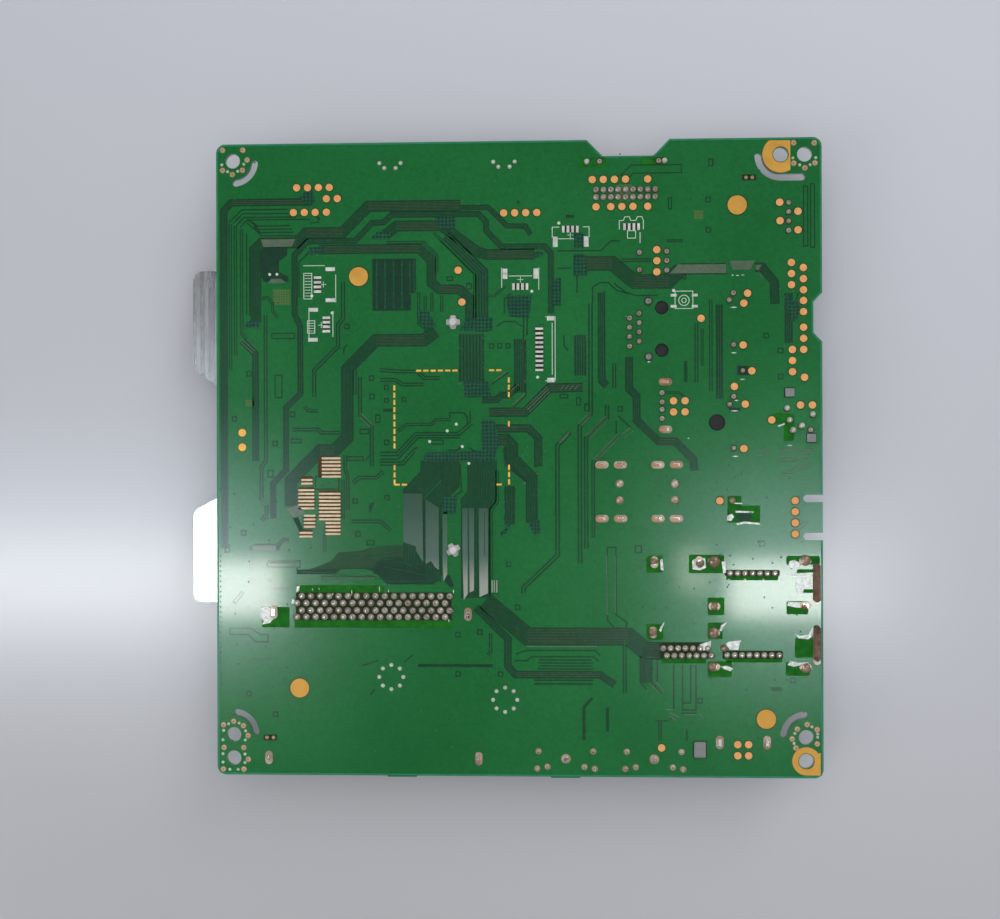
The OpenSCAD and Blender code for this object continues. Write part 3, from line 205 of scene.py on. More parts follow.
def maths(tree, operation, first, second=0.0):
    return put(tree, "ShaderNodeMath", {0: first, 1: second}, operation=operation).outputs[0]


def remap(tree, value, low=0.0, high=1.0, to=(0.0, 1.0), smooth=False):
    inputs = {"Value": value, "From Min": low, "From Max": high, "To Min": to[0], "To Max": to[1]}
    return put(tree, "ShaderNodeMapRange", inputs, interpolation_type="SMOOTHSTEP" if smooth else "LINEAR").outputs[0]


def mixed(tree, share, first, second, blend="MIX"):
    # two colours, each a socket or red, green and blue
    first, second = (source if isinstance(source, bpy.types.NodeSocket) else (*source, 1) for source in (first, second))
    return put(tree, "ShaderNodeMix", {0: share, 6: first, 7: second}, data_type="RGBA", blend_type=blend).outputs[2]


def greyed(tree, colour, value):
    # a colour made darker by a value from 0 to 1
    grey = put(tree, "ShaderNodeCombineColor", {0: value, 1: value, 2: value}).outputs[0]
    return mixed(tree, 1.0, colour, grey, "MULTIPLY")


def axes(tree, node="ShaderNodeTexCoord", output="Object"):
    return put(tree, "ShaderNodeSeparateXYZ", {0: put(tree, node).outputs[output]}).outputs


def bump(tree, height, depth):
    # depth in metres
    return put(tree, "ShaderNodeBump", {"Height": height, "Distance": depth, "Strength": 1.0}).outputs["Normal"]


def shaderGroup(name, inputs, outputs):
    group = bpy.data.node_groups.new(name, "ShaderNodeTree")
    for label, kind, value in inputs:
        group.interface.new_socket(label, in_out="INPUT", socket_type=kind).default_value = value
    for label, kind in outputs:
        group.interface.new_socket(label, in_out="OUTPUT", socket_type=kind)
    entry = group.nodes.new("NodeGroupInput")
    leave = group.nodes.new("NodeGroupOutput")
    place = put(group, "ShaderNodeTexCoord").outputs["Object"]
    return group, entry.outputs, leave, place


def buildDrift():
    # slow change between two colours, from one noise; Mask is the same noise, spread to the whole of 0 to 1
    group, given, result, place = shaderGroup(
        "colourDrift",
        [("Light", "NodeSocketColor", (1, 1, 1, 1)), ("Dark", "NodeSocketColor", (0, 0, 0, 1)),
         ("Scale", "NodeSocketFloat", 60.0), ("Detail", "NodeSocketFloat", 4.0)],
        [("Color", "NodeSocketColor"), ("Mask", "NodeSocketFloat")])
    noise = put(group, "ShaderNodeTexNoise", {"Vector": place, "Scale": given["Scale"], "Detail": given["Detail"]})
    spread = remap(group, noise.outputs["Fac"], 0.3, 0.7)
    feed(group, result, {"Color": mixed(group, spread, given["Dark"], given["Light"]), "Mask": spread})
    return group


def buildGrain():
    # fine noise, drawn out along an axis by Stretch: the height of brushed metal, moulded skin and solder
    group, given, result, place = shaderGroup(
        "fineGrain",
        [("Scale", "NodeSocketFloat", 2000.0), ("Stretch", "NodeSocketVector", (1, 1, 1))],
        [("Height", "NodeSocketFloat")])
    drawn = put(group, "ShaderNodeVectorMath", {0: place, 1: given["Stretch"]}, operation="MULTIPLY")
    noise = put(group, "ShaderNodeTexNoise",
                {"Vector": drawn.outputs[0], "Scale": given["Scale"], "Detail": 3.0, "Roughness": 0.6})
    feed(group, result, {"Height": noise.outputs["Fac"]})
    return group


def buildWeave():
    # glass cloth under the mask: the product of two sets of bands, one along each side of the board
    group, given, result, place = shaderGroup(
        "glassWeave", [("Threads", "NodeSocketFloat", 900.0)], [("Height", "NodeSocketFloat")])
    inputs = {"Vector": place, "Scale": given["Threads"], "Distortion": 0.6, "Detail Scale": 2.0}
    bands = [put(group, "ShaderNodeTexWave", inputs, bands_direction=axis).outputs["Fac"] for axis in "XY"]
    feed(group, result, {"Height": maths(group, "MULTIPLY", *bands)})
    return group


driftGroup = buildDrift()
grainGroup = buildGrain()
weaveGroup = buildWeave()


def newFinish(name):
    material = bpy.data.materials.new(name)
    material.use_nodes = True
    tree = material.node_tree
    return material, tree, tree.nodes["Principled BSDF"]


def driftNode(tree, light, dark, scale, detail):
    inputs = {"Light": (*light, 1), "Dark": (*dark, 1), "Scale": scale, "Detail": detail}
    return put(tree, "ShaderNodeGroup", inputs, node_tree=driftGroup).outputs


def grainHeight(tree, scale, stretch=(1, 1, 1)):
    return put(tree, "ShaderNodeGroup", {"Scale": scale, "Stretch": stretch}, node_tree=grainGroup).outputs["Height"]


# each plain finish: light and dark colours that drift into each other, roughness from and to, scale of the drift,
# scale of the grain and its depth in metres, and metal and specular where they aren't nought and a half
finishes = {
    "gold_pads": ((0.56, 0.295, 0.040), (0.48, 0.24, 0.028), (0.4, 0.55), 300, 4000, 2e-6, 0.15),
    "copper_pads": ((0.70, 0.345, 0.105), (0.60, 0.28, 0.08), (0.4, 0.55), 500, 5000, 1e-6, 0.1),
    "tinned_pads": ((0.66, 0.67, 0.62), (0.46, 0.48, 0.43), (0.25, 0.45), 900, 3000, 8e-6, 0.35),
    "comb_copper": ((0.62, 0.50, 0.34), (0.48, 0.37, 0.22), (0.4, 0.55), 900, 4000, 2e-6, 0.2),
    "via_tin": ((0.60, 0.62, 0.54), (0.42, 0.42, 0.36), (0.3, 0.45), 700, 2500, 6e-6, 0.15),
    "dash_copper": ((0.78, 0.45, 0.08), (0.66, 0.36, 0.06), (0.4, 0.5), 600, 4000, 1e-6, 0.2),
    "solder": ((0.60, 0.54, 0.46), (0.30, 0.25, 0.19), (0.12, 0.26), 420, 1400, 6e-6, 0.55),
    "lug_solder": ((0.46, 0.38, 0.30), (0.30, 0.16, 0.09), (0.16, 0.34), 190, 1400, 8e-6, 0.2),
    "pale_solder": ((0.60, 0.53, 0.45), (0.34, 0.23, 0.15), (0.12, 0.26), 420, 1400, 6e-6, 0.25),
    "flux_solder": ((0.34, 0.26, 0.18), (0.13, 0.08, 0.045), (0.1, 0.22), 330, 1400, 8e-6, 0.35),
    "aged_copper": ((0.46, 0.24, 0.11), (0.34, 0.17, 0.08), (0.3, 0.5), 700, 3000, 4e-6, 0.15),
    "grey_ceramic": ((0.20, 0.21, 0.20), (0.14, 0.15, 0.14), (0.4, 0.6), 500, 3000, 4e-6, 0.1),
    "thermal_pad": ((0.45, 0.52, 0.60), (0.38, 0.45, 0.53), (0.7, 0.85), 300, 1500, 1e-5),
    "nylon": ((0.52, 0.52, 0.50), (0.42, 0.42, 0.41), (0.35, 0.5), 400, 2500, 4e-6),
    "spring_steel": ((0.62, 0.62, 0.62), (0.42, 0.42, 0.42), (0.25, 0.4), 600, 3000, 3e-6, 1),
    "chip_black": ((0.030, 0.031, 0.033), (0.018, 0.018, 0.020), (0.45, 0.62), 500, 5000, 6e-6),
    "processor_grey": ((0.045, 0.046, 0.050), (0.028, 0.028, 0.032), (0.5, 0.65), 400, 5000, 5e-6),
    "capacitor_can": ((0.74, 0.75, 0.77), (0.60, 0.61, 0.63), (0.22, 0.35), 300, 2500, 2e-6, 1),
    "black_plastic": ((0.016, 0.016, 0.017), (0.008, 0.008, 0.009), (0.35, 0.5), 300, 3500, 8e-6, 0, 0.25),
    "ferrite": ((0.075, 0.073, 0.070), (0.045, 0.044, 0.043), (0.5, 0.7), 500, 2500, 1.5e-5),
    "crystal_can": ((0.70, 0.70, 0.69), (0.56, 0.56, 0.55), (0.2, 0.3), 300, 2500, 2e-6, 1),
    "ceramic_tan": ((0.42, 0.30, 0.18), (0.24, 0.17, 0.11), (0.4, 0.6), 700, 3000, 5e-6),
    "ivory_plastic": ((0.70, 0.66, 0.54), (0.62, 0.58, 0.46), (0.4, 0.55), 250, 3000, 8e-6),
    "white_plastic": ((0.74, 0.74, 0.70), (0.66, 0.66, 0.62), (0.38, 0.5), 250, 3000, 8e-6),
    "tinplate": ((0.70, 0.70, 0.69), (0.52, 0.52, 0.51), (0.2, 0.38), 140, 1800, 3e-6, 1),
    "lead_tin": ((0.72, 0.71, 0.68), (0.50, 0.49, 0.46), (0.18, 0.35), 900, 2500, 5e-6, 1),
}


def plainFinish(name, light, dark, rough, scale, grain, depth, metal=0.0, specular=0.5, detail=4.0):
    material, tree, shader = newFinish(name)
    colour = driftNode(tree, light, dark, scale, detail)
    feed(tree, shader, {"Base Color": colour["Color"], "Metallic": metal, "Specular IOR Level": specular,
                        "Roughness": remap(tree, colour["Mask"], to=rough),
                        "Normal": bump(tree, grainHeight(tree, grain), depth)})
    return material


finishOf = {name: plainFinish(name, *given) for name, given in finishes.items()}

boardMask = dict(light=(0.0074, 0.140, 0.031), dark=(0.0058, 0.116, 0.0255), speck=(0.80, 0.84, 0.80),
                 laminate=(0.06, 0.17, 0.10), rough=(0.19, 0.26), specular=0.3, coat=0.75, gloss=0.08,
                 driftScale=22, speckScale=900, threads=620, weaveDepth=9e-6)


def solderMask(name, given):
    # green mask on the flat faces, pale laminate on the sawn edges, glass cloth showing faintly through
    material, tree, shader = newFinish(name)
    colour = driftNode(tree, given["light"], given["dark"], given["driftScale"], 6.0)
    speck = driftNode(tree, (1, 1, 1), given["speck"], given["speckScale"], 2.0)
    tinted = mixed(tree, 1.0, colour["Color"], speck["Color"], "MULTIPLY")
    upright = maths(tree, "ABSOLUTE", axes(tree, "ShaderNodeNewGeometry", "Normal")["Z"])
    side = maths(tree, "LESS_THAN", upright, 0.5)
    weave = put(tree, "ShaderNodeGroup", {"Threads": given["threads"]}, node_tree=weaveGroup)
    feed(tree, shader, {"Base Color": mixed(tree, side, tinted, given["laminate"]),
                        "Roughness": remap(tree, colour["Mask"], to=given["rough"]),
                        "Specular IOR Level": given["specular"], "Coat Weight": given["coat"],
                        "Coat Roughness": given["gloss"],
                        "Normal": bump(tree, weave.outputs["Height"], given["weaveDepth"])})
    return material


# the same mask over other grounds, and lit_tracks and pale_tracks: copies with painted light for tracks that catch it
maskTones = {
    "solder_mask": (boardMask["light"], boardMask["dark"]),
    "mask_tracks": ((0.013, 0.085, 0.034), (0.010, 0.068, 0.027)),
    "bare_channels": ((0.0085, 0.054, 0.022), (0.0065, 0.043, 0.018)),
    "lit_tracks": ((0.042, 0.090, 0.044), (0.033, 0.076, 0.036)),
    "pale_tracks": ((0.105, 0.145, 0.100), (0.080, 0.120, 0.080)),
}
for name, (light, dark) in maskTones.items():
    finishOf[name] = solderMask(name, boardMask | dict(light=light, dark=dark))

sheetMetal = dict(light=(0.60, 0.59, 0.585), dark=(0.50, 0.495, 0.49), rough=(0.22, 0.32), metal=0.88,
                  strokes=(900.0, 12.0, 900.0), streak=(0.86, 1.0), depth=6e-6)


def brushedSheet(name, given):
    # aluminium brushed along the board's depth: long thin strokes in colour, roughness and height
    material, tree, shader = newFinish(name)
    strokes = grainHeight(tree, 1.0, given["strokes"])
    colour = driftNode(tree, given["light"], given["dark"], 40, 5.0)["Color"]
    streak = remap(tree, strokes, 0.3, 0.7, to=given["streak"])
    feed(tree, shader, {"Base Color": greyed(tree, colour, streak), "Metallic": given["metal"],
                        "Roughness": remap(tree, strokes, to=given["rough"]),
                        "Normal": bump(tree, strokes, given["depth"])})
    return material


finishOf["aluminium_sheet"] = brushedSheet("aluminium_sheet", sheetMetal)

jackInserts = dict(colours=[(0.78, 0.52, 0.02), (0.75, 0.75, 0.72), (0.55, 0.03, 0.03)], middle=110.1, pitch=14.0)


def jackColours(name, given):
    # one colour for each jack of the block, told apart by the place along the board's depth
    material, tree, shader = newFinish(name)
    along = axes(tree)["Y"]
    colour, *others = given["colours"]
    for k, other in enumerate(others):
        edge = onBoard([0, given["middle"] + (k - 0.5) * given["pitch"]])[0, 1]
        colour = mixed(tree, maths(tree, "GREATER_THAN", along, float(edge)), colour, other)
    feed(tree, shader, {"Base Color": colour, "Roughness": 0.3, "Normal": bump(tree, grainHeight(tree, 3000), 4e-6)})
    return material


finishOf["jack_colours"] = jackColours("jack_colours", jackInserts)

for row in frame["record"]["subparts"]:
    nodes[row["node"]].data.materials.clear()
    nodes[row["node"]].data.materials.append(finishOf[row["material_slot"]])
nodes["solder_dots"].data.materials[0] = finishOf["via_tin"]
nodes["lug_solder"].data.materials[0] = finishOf["lug_solder"]
print("finishes made:", len(finishOf))

# ---- Tracks on the solder side; a path is one row of numbers, x and y of each point in board millimetres ----
# bundles: width, number of lines, path of the middle
trackBundles = [
    (2.4, 6, 67.3, 155.6, 42, 155.6, 34.9, 148.5, 24.9, 148.5, 22.2, 145.8, 12.5, 145.8, 10.9, 144.2, 10.9, 124),
    (1.0, 2, 91.9, 126, 91.9, 142.3, 90.3, 144.2, 78.5, 144.2, 74.3, 148.6, 74.3, 151, 72.2, 153.2, 48.5, 153.2, 46.2,
     151.2, 43, 151, 38.4, 146.2, 25.4, 146.2, 21.7, 142.5, 21.7, 126, 23.2, 123, 23.2, 104.4, 19.2, 100.6, 19.2, 83.6,
     15.6, 79.8, 15.6, 70.2),
    (0.8, 2, 67, 155, 74.8, 155, 79.9, 149.9, 85, 149.7, 86.4, 147.4),
    (2.3, 6, 46.5, 147.6, 49.8, 150.1, 62, 150.1, 72, 142.8, 74.5, 142.1, 87.5, 142.1),
    (2.0, 5, 28.5, 143.9, 56, 143.9, 59.3, 140.6, 59.3, 134.6, 61.4, 132.7, 67, 132.7, 69.8, 130, 69.8, 122),
    (1.4, 3, 25, 157, 4.2, 157, 2.1, 154.8, 2.1, 62), (1.2, 2, 7.1, 119, 10.8, 115.5, 10.8, 86),
    (2.8, 7, 60.5, 121.3, 57.3, 118.9, 44, 118.9, 36.1, 111, 36.1, 92.4, 32.5, 88.8, 28.6, 88.8, 20.5, 80.6, 20.5,
     73.6),
    (3.0, 4, 63, 147.2, 73, 137.2, 73, 121), (6.2, 7, 70.2, 120.5, 70.2, 107.5),
    (5.0, 12, 59, 86, 59, 82, 54.2, 77, 54.2, 57.5), (3.9, 9, 64.6, 86, 64.6, 79.9, 59.5, 74.7, 59.5, 53),
    (7.4, 16, 73, 86, 73, 76.3, 71.2, 74, 71.2, 48.5),
    (4.2, 10, 73.7, 47.8, 85.3, 38.1, 112.6, 38.1, 117.2, 34.3, 121, 34.3),
    (1.4, 3, 71.2, 46, 79.9, 37.4, 79.9, 30, 82, 27.7, 105, 27.7, 108.9, 25),
    (2.6, 6, 77, 91.6, 79.6, 91.6, 81.2, 89.9, 81.2, 86.6, 86.5, 81.3, 86.5, 69), (2.2, 5, 80.5, 79, 80.5, 68.5),
    (1.6, 4, 76.5, 94.7, 85.8, 94.7, 88.3, 92, 88.3, 84.3), (1.9, 4, 75, 99.1, 84.8, 99.1, 91.3, 105.6, 100.5, 105.8),
    (1.4, 3, 105.6, 131.5, 105.6, 107.6, 107, 106.2),
    (1.5, 3, 113, 114, 113, 105.3, 115, 103.4, 115, 96.8, 121, 91, 125.5, 91, 130.3, 86, 130.6, 83),
    (3.4, 8, 98.5, 139.4, 108.5, 139.4, 114.6, 134.4, 123.7, 134.4, 127, 137.6), (2.4, 6, 127, 137.7, 139.4, 137.7),
    (1.8, 4, 147, 138, 149, 138, 152.2, 134, 152.4, 128), (1.5, 3, 156, 131, 156, 117.5),
    (1.2, 2, 137.4, 128, 137.4, 102.5), (2.6, 4, 99.8, 120, 99.8, 109), (2.4, 4, 83.3, 119, 83.3, 104.5),
    (1.2, 2, 73, 102.5, 77, 102.5, 78.4, 103.8, 80.2, 103.8, 83, 106.3), (2.6, 5, 117.3, 33, 117.3, 25.6),
]
# tracks on their own: width over both gaps, path
loneTracks = [
    (0.9, 60, 148.2, 71.1, 137, 71.1, 122), (1.0, 77.1, 83.5, 77.1, 74.6, 75.4, 72.6, 75.4, 49.5),
    (1.1, 13.6, 126, 13.6, 86, 12.4, 84.4, 12.4, 75.4, 13.8, 73.8, 13.8, 71.5, 12.4, 69.6),
    (1.2, 35, 135, 35, 125, 33.6, 123.2, 33.6, 117.3, 27, 110.8, 27, 103.5),
    (1.1, 39.6, 109, 39.6, 98.5, 42.8, 95.2, 42.8, 84.5), (1.1, 38.2, 110.8, 38.2, 104),
    (1.1, 21, 94.6, 28, 94.6, 29, 93.7, 34.2, 93.7), (1.0, 24.2, 100.9, 25.4, 99.8, 28, 99.7),
    (1.1, 37.6, 79.9, 39.3, 81.4, 44, 81.4, 46, 83), (1.1, 37.2, 69.4, 45.2, 69.4, 48, 66.9),
    (1.0, 35.5, 87.5, 35.5, 83.6, 36.2, 82, 36.2, 72.5), (0.9, 34.9, 81, 34.9, 70), (0.9, 29.8, 66, 29.8, 61),
    (1.1, 45, 110.8, 50, 110.4, 55.4, 110.3, 57.2, 108.5, 61.5, 108.5),
    (1.1, 45, 108.1, 49.3, 108.1, 51.2, 106.8, 57, 106.8),
    (0.9, 50, 94, 52.4, 95.9, 59.2, 95.9, 60.4, 97.1, 64.5, 97.2),
    (1.3, 97, 93.6, 93.5, 90, 93.5, 60.2, 84.2, 51.3, 84.2, 49.8),
    (1.3, 102.6, 128.6, 102.6, 98.5, 99.6, 95.2, 99.6, 58), (1.2, 107, 101, 107, 97.4, 101.3, 91.9, 101.3, 62),
    (1.0, 110, 92.6, 103.2, 85.4, 103.2, 65), (1.1, 109, 112.4, 109, 105.5), (1.0, 135.1, 129.4, 135.1, 104.5),
    (1.1, 131.2, 123, 131.2, 107), (0.8, 132.8, 121.5, 132.8, 111.5), (0.7, 122.5, 104.2, 126.5, 104.2, 128, 103),
    (1.1, 111.6, 37, 111.6, 22.8), (1.0, 75.2, 39, 75.2, 34, 74.4, 33), (1.5, 87, 25.7, 103, 25.7),
    (1.0, 28.8, 54.1, 44, 54.1), (1.0, 121.1, 15, 121.1, 10), (0.8, 74.9, 130.8, 76.5, 130.8, 79.5, 133.4),
    (0.9, 62.1, 131, 62.1, 126.5), (0.9, 55.8, 132, 55.8, 123.5, 58, 121.5), (0.9, 57.6, 131, 57.6, 125, 59, 123),
    (0.9, 59.4, 132, 59.4, 126.6), (0.9, 47, 145.6, 57.2, 145.6, 60.8, 142, 60.8, 137.5),
    (0.9, 12.6, 130.8, 14.3, 130.8, 15.5, 129.4, 15.5, 127.2, 17, 125.3), (1.0, 111, 140.2, 119, 140.2),
    (1.0, 3.9, 151.2, 3.9, 111), (1.0, 5.3, 150.8, 5.3, 115), (1.0, 7, 149.8, 7, 121, 8.4, 119.4),
]
# single gaps in the copper, and the nests of fine lines
fineGaps = [
    (20, 155, 7.2, 155, 3.6, 151.6), (20, 153.9, 7.3, 153.9, 4.7, 151.3), (22, 152.9, 7.8, 152.9, 5.7, 150.8),
    (26, 152.2, 8.6, 152.2, 6.7, 150.3), (20.5, 150.5, 11.5, 150.5, 8.9, 152.2), (21, 149.6, 11.8, 149.6, 9.9, 151.4),
    (21.5, 148.7, 12.2, 148.7, 10.4, 150.4), (22, 147.8, 12.6, 147.8, 8.4, 151.6), (8.4, 148.4, 8.4, 126),
    (12.2, 147.2, 9.2, 144.4, 9.2, 126), (26, 151.2, 28.2, 151.4, 28.6, 152.4, 27.4, 153),
    (28, 143.2, 25.6, 143.2, 22.9, 140.5, 22.9, 131),
    (45, 88.3, 49.6, 88.3, 54.8, 93.6, 66.3, 93.6, 69.8, 96.4, 69.8, 99.5),
    (45, 87.4, 50, 87.4, 55.1, 92.9, 66.8, 92.9, 70.5, 96), (45, 86.4, 50, 86.4, 55.5, 92.2, 67, 92.2),
    (45, 85.6, 51, 85.6, 54.5, 89.3, 55.5, 89.6), (45, 84.8, 51.5, 84.8, 54.8, 88.6),
    (64.2, 97.6, 64.2, 99, 68, 99, 69, 97.8, 69, 96), (63.7, 88.8, 66.4, 88.8, 67.3, 90),
    (69.3, 89.5, 71.3, 88.4, 71, 87.4, 67.5, 87.4), (82, 33.3, 85, 34.3, 103.5, 34.3, 105, 33),
    (81.7, 31.5, 85, 31.5, 86.4, 32.6, 103.2, 32.6, 104.6, 31.4), (88.3, 31.7, 102.6, 31.7), (88, 30.9, 103, 30.9),
    (88.4, 30.1, 102.6, 30.1), (88, 29.3, 103, 29.3), (88.4, 28.6, 102.4, 28.6), (115.8, 32, 115.8, 25.8, 117.5, 23.8),
    (119, 32, 119, 25.5, 121.4, 22.8), (120.4, 32, 120.4, 26), (124.8, 30.5, 124.8, 18.6),
    (127.2, 30.5, 127.2, 18.3, 130.8, 18.3, 130.8, 30.5), (129.4, 30.5, 129.4, 20.2, 127.4, 20.2),
    (127, 17.4, 131, 17.4), (120, 15.3, 123, 15.3, 124.4, 16.2), (128.3, 13, 128.3, 10), (76.2, 53.5, 76.2, 49.5),
    (77, 53.5, 77, 49.5), (62.1, 86, 62.1, 80, 57.1, 75, 57.1, 57),
    (67, 85, 67.4, 77.6, 64.8, 75.8, 61.8, 73.3, 61.8, 55), (69.6, 73, 69.6, 50), (75.8, 106.8, 80.3, 110),
    (81.6, 100.4, 85, 103.6, 85, 119), (95.4, 120, 95.4, 117, 96.6, 115.8), (99, 136.5, 99, 131.5),
    (93.8, 142.9, 105.5, 142.9, 108.2, 145.5, 110.5, 145.5),
    (103.2, 128.5, 103.2, 133, 105.2, 134.2, 107.5, 134.2, 109.5, 132.2, 113, 131), (106.4, 129, 106.4, 132),
    (109, 134, 112, 131.6, 115, 130.6, 121, 130.6), (93.6, 138.2, 97.5, 138.2), (84.4, 127, 84.4, 118),
    (85.4, 127, 85.4, 120), (77, 122.5, 79, 123.8, 82, 123.8, 84, 122.4), (79.2, 126, 79.2, 130, 81, 131.5),
    (110, 98, 113.6, 94.6), (109.5, 96.6, 109.5, 93), (41, 86, 42.2, 87.4), (36.2, 117.8, 35.2, 116.8, 35.2, 115.2),
    (40, 30, 44.5, 31.5), (51.5, 31, 54, 33), (43.5, 23.5, 42.2, 22), (151.2, 134, 151.2, 129),
    (158.6, 131, 157.4, 127),
]
broadGaps = [
    (55.3, 30.1, 75.8, 30.1), (102.8, 21.4, 100.5, 18.8, 100.5, 10), (106.9, 18.8, 106.9, 12.3),
    (128.3, 112.8, 128.3, 107), (16.5, 62.4, 18.4, 64.4, 20, 64.5), (8.9, 62.1, 9.9, 62.1), (16.2, 62.1, 17.4, 62.1),
    (82.7, 156.3, 83.4, 156.3), (96, 152.3, 98.3, 152.3), (24.2, 159.4, 26.6, 157.2), (46, 99.8, 48.6, 99.8),
    (140.9, 117.6, 141.5, 116.6),
]
# short stretches that face the light
litStretches = [
    (97, 94, 93.9, 90.9), (96.6, 93, 94.3, 90.7), (102.3, 98.9, 99.4, 95.9), (102.7, 98, 100.2, 95.4),
    (106.8, 98, 101.2, 92.5), (107.2, 97, 102, 91.8), (110, 93.1, 103.2, 86), (110.3, 92.3, 104, 85.8),
    (90.8, 106, 84.9, 100.2), (91.2, 105.4, 85.4, 99.7), (91.4, 104.6, 86, 99.2), (84.8, 104.3, 81.6, 101.2),
    (80, 110.3, 76.4, 107.7), (83, 106.7, 80.8, 104.8), (7.4, 119.2, 10.6, 116.2), (7, 118.5, 10, 115.7),
    (39.9, 98.9, 43, 95.8), (39.5, 98, 42.3, 95.2), (12.4, 75.9, 14.2, 74), (12.1, 75.2, 13.4, 73.8),
    (111, 93, 113.4, 94.8), (111.6, 92, 114, 93.8), (120, 25.8, 122.2, 23.4), (119, 25, 121, 22.8),
    (131.6, 17.4, 133, 15.8), (122.6, 18.4, 124.6, 18.4), (123.8, 17.4, 126.4, 16.2), (123.6, 16.6, 125.6, 15.4),
    (127.6, 17.1, 131, 17.1), (106.9, 60, 106.9, 44), (109.1, 60, 109.1, 44.6), (94.3, 105.2, 95.4, 106.4),
    (95.6, 105.2, 96.7, 106.4), (96.9, 105.2, 98, 106.4), (98.2, 105.2, 99.3, 106.4), (153, 88.8, 162.8, 88.8),
    (153, 87.7, 159, 87.7, 160, 88.3, 162.5, 88.3), (152.6, 86.4, 157.5, 86.4, 158.5, 87.1, 161.5, 87.1),
    (152.6, 85.6, 157.8, 85.6, 158.8, 86.2, 161, 86.2), (154.5, 82.9, 156.5, 82.9, 158, 84.2, 160.2, 84.2, 161.5, 85),
    (154, 82.1, 156.7, 82.1, 158.2, 83.4, 160.5, 83.4, 161.8, 84.6), (147.2, 88.1, 149.5, 88.6, 150.7, 89.4),
    (147.2, 87.3, 150, 87.3, 151, 88), (159, 68.4, 161, 69.6), (158.8, 67.2, 161, 68.6), (9, 31.7, 15, 31.7),
    (10.2, 63.1, 16.4, 63.1), (29, 53.8, 43.6, 53.8), (85, 35.4, 104, 35.4), (14.6, 58.1, 22, 58.1),
]
# outlines round buried pads: left, right, bottom, top
closedOutlines = [
    (16.2, 18.1, 103.4, 109.5), (15.3, 21.6, 119.6, 121), (68.9, 70.2, 132.8, 134.2), (63.6, 65.1, 135.1, 136.1),
    (20.6, 23.4, 91, 92), (43.9, 45.1, 96.5, 98.5), (39.6, 41.9, 93.4, 94.6), (36, 40.4, 86.1, 87.1),
    (27.3, 33.7, 78.3, 81.7), (59.2, 62.4, 90.5, 91.6), (98.8, 99.8, 101, 103), (94.3, 96.4, 102.9, 103.9),
    (134.7, 135.8, 165.6, 167.4), (123.8, 124.6, 154, 157), (123.6, 127.4, 145.1, 145.6), (160.1, 161.2, 143.6, 159.8),
    (162, 163, 143.2, 160.4), (114.6, 116.2, 60.9, 62.8), (148, 149.3, 62.6, 63.9), (151.2, 153.6, 23.7, 24.3),
    (101, 102.4, 99.4, 101.2), (127.6, 128.4, 135, 136), (14.2, 15.6, 81.6, 83.4), (2.2, 3.4, 61, 63),
    (75.2, 76.2, 116.6, 117.8), (77.4, 78.4, 116.6, 117.8), (79.7, 80.7, 116.6, 117.8), (46.4, 47.4, 105.4, 106.6),
    (46.4, 47.4, 102, 103), (51.2, 52.2, 102.2, 103.2), (41.4, 43.4, 63, 64.2),
]
bentOutlines = [
    (3.6, 40.1, 9.4, 40.1, 12, 38.4, 14.1, 38.4, 14.1, 36.4, 10.6, 36.4, 8.7, 38.4, 3.6, 38.4),
    (13.8, 57.4, 14.3, 58.6, 23, 58.6, 23, 56.9, 14.3, 56.9), (4.4, 47.4, 6.8, 50.2, 7.4, 49.7, 5, 46.9),
    (107, 62.3, 109.3, 62.3, 109.3, 44, 112.3, 41.9, 111.8, 40.4, 109, 40.4, 107, 42.4),
    (111, 163.3, 113.7, 166, 127.3, 166, 127.3, 163.8, 114.3, 163.8, 113.4, 162.8),
]
smallSquares = [
    (9, 110), (4.9, 97.6), (16.2, 90.8), (21, 98.8), (42.8, 108.6), (42.9, 103.6), (36.1, 122.8), (7.4, 66.3),
    (66.3, 38.5), (38.2, 75), (72.2, 39.2), (66.3, 27.8), (77.9, 27.8), (8.8, 22.2), (16.1, 16.6), (80.2, 57.7),
    (82.6, 46), (39, 66), (110.6, 99.9), (134.5, 156.4), (134.5, 148.2), (150, 119.5), (153.8, 115.4), (153.8, 108.4),
    (156.8, 26.4), (131.9, 20.8), (47, 75.9), (46.9, 91),
]
trackSizes = dict(channelMargin=0.7, channelHeight=0.03, lineShare=0.56, lineHeight=0.075, litRise=0.01, loneShare=0.36,
                  fineGap=0.4, broadGap=0.9, gapHeight=0.035, outline=0.35, square=1.2, litWidth=0.28,
                  slope=0.2, fewest=3)


def ribbons(rows, height):
    # each row: width, path
    return [ribbon(path, width, height) for width, *path in rows]


def ofWidth(width, paths):
    return [(width, *np.ravel(path)) for path in paths]


def closedPath(corners):
    # a closed outline starts and ends in the middle of its first side, so that every corner is mitred
    points = pairs(corners)
    middle = (points[0] + points[1]) / 2
    return np.vstack([middle, points[1:], points[:1], middle])


def bundleLines(width, count, path, given, rise=0.0):
    # the lines of a bundle, side by side at equal steps over its width
    step = width / count
    shifts = (np.arange(count) - (count - 1) / 2) * step
    return [ribbon(path, given["lineShare"] * step, given["lineHeight"] + rise, shift) for shift in shifts]


def bareChannels(given):
    # bare laminate between the copper: a dark ribbon under every bundle and lone track, gaps, outlines round pads
    wide = [(width + given["channelMargin"], *path) for width, count, *path in trackBundles]
    gaps = ofWidth(given["fineGap"], fineGaps) + ofWidth(given["broadGap"], broadGaps)
    half = given["square"] / 2
    squares = [oblong(x - half, x + half, y - half, y + half) for x, y in smallSquares]
    rounds = [closedPath(corners) for corners in oblongs(closedOutlines) + bentOutlines + squares]
    channels = ribbons(wide + loneTracks, given["channelHeight"])
    channels += ribbons(gaps + ofWidth(given["outline"], rounds), given["gapHeight"])
    meshPiece("bareChannels", joined(channels), finishOf["bare_channels"])


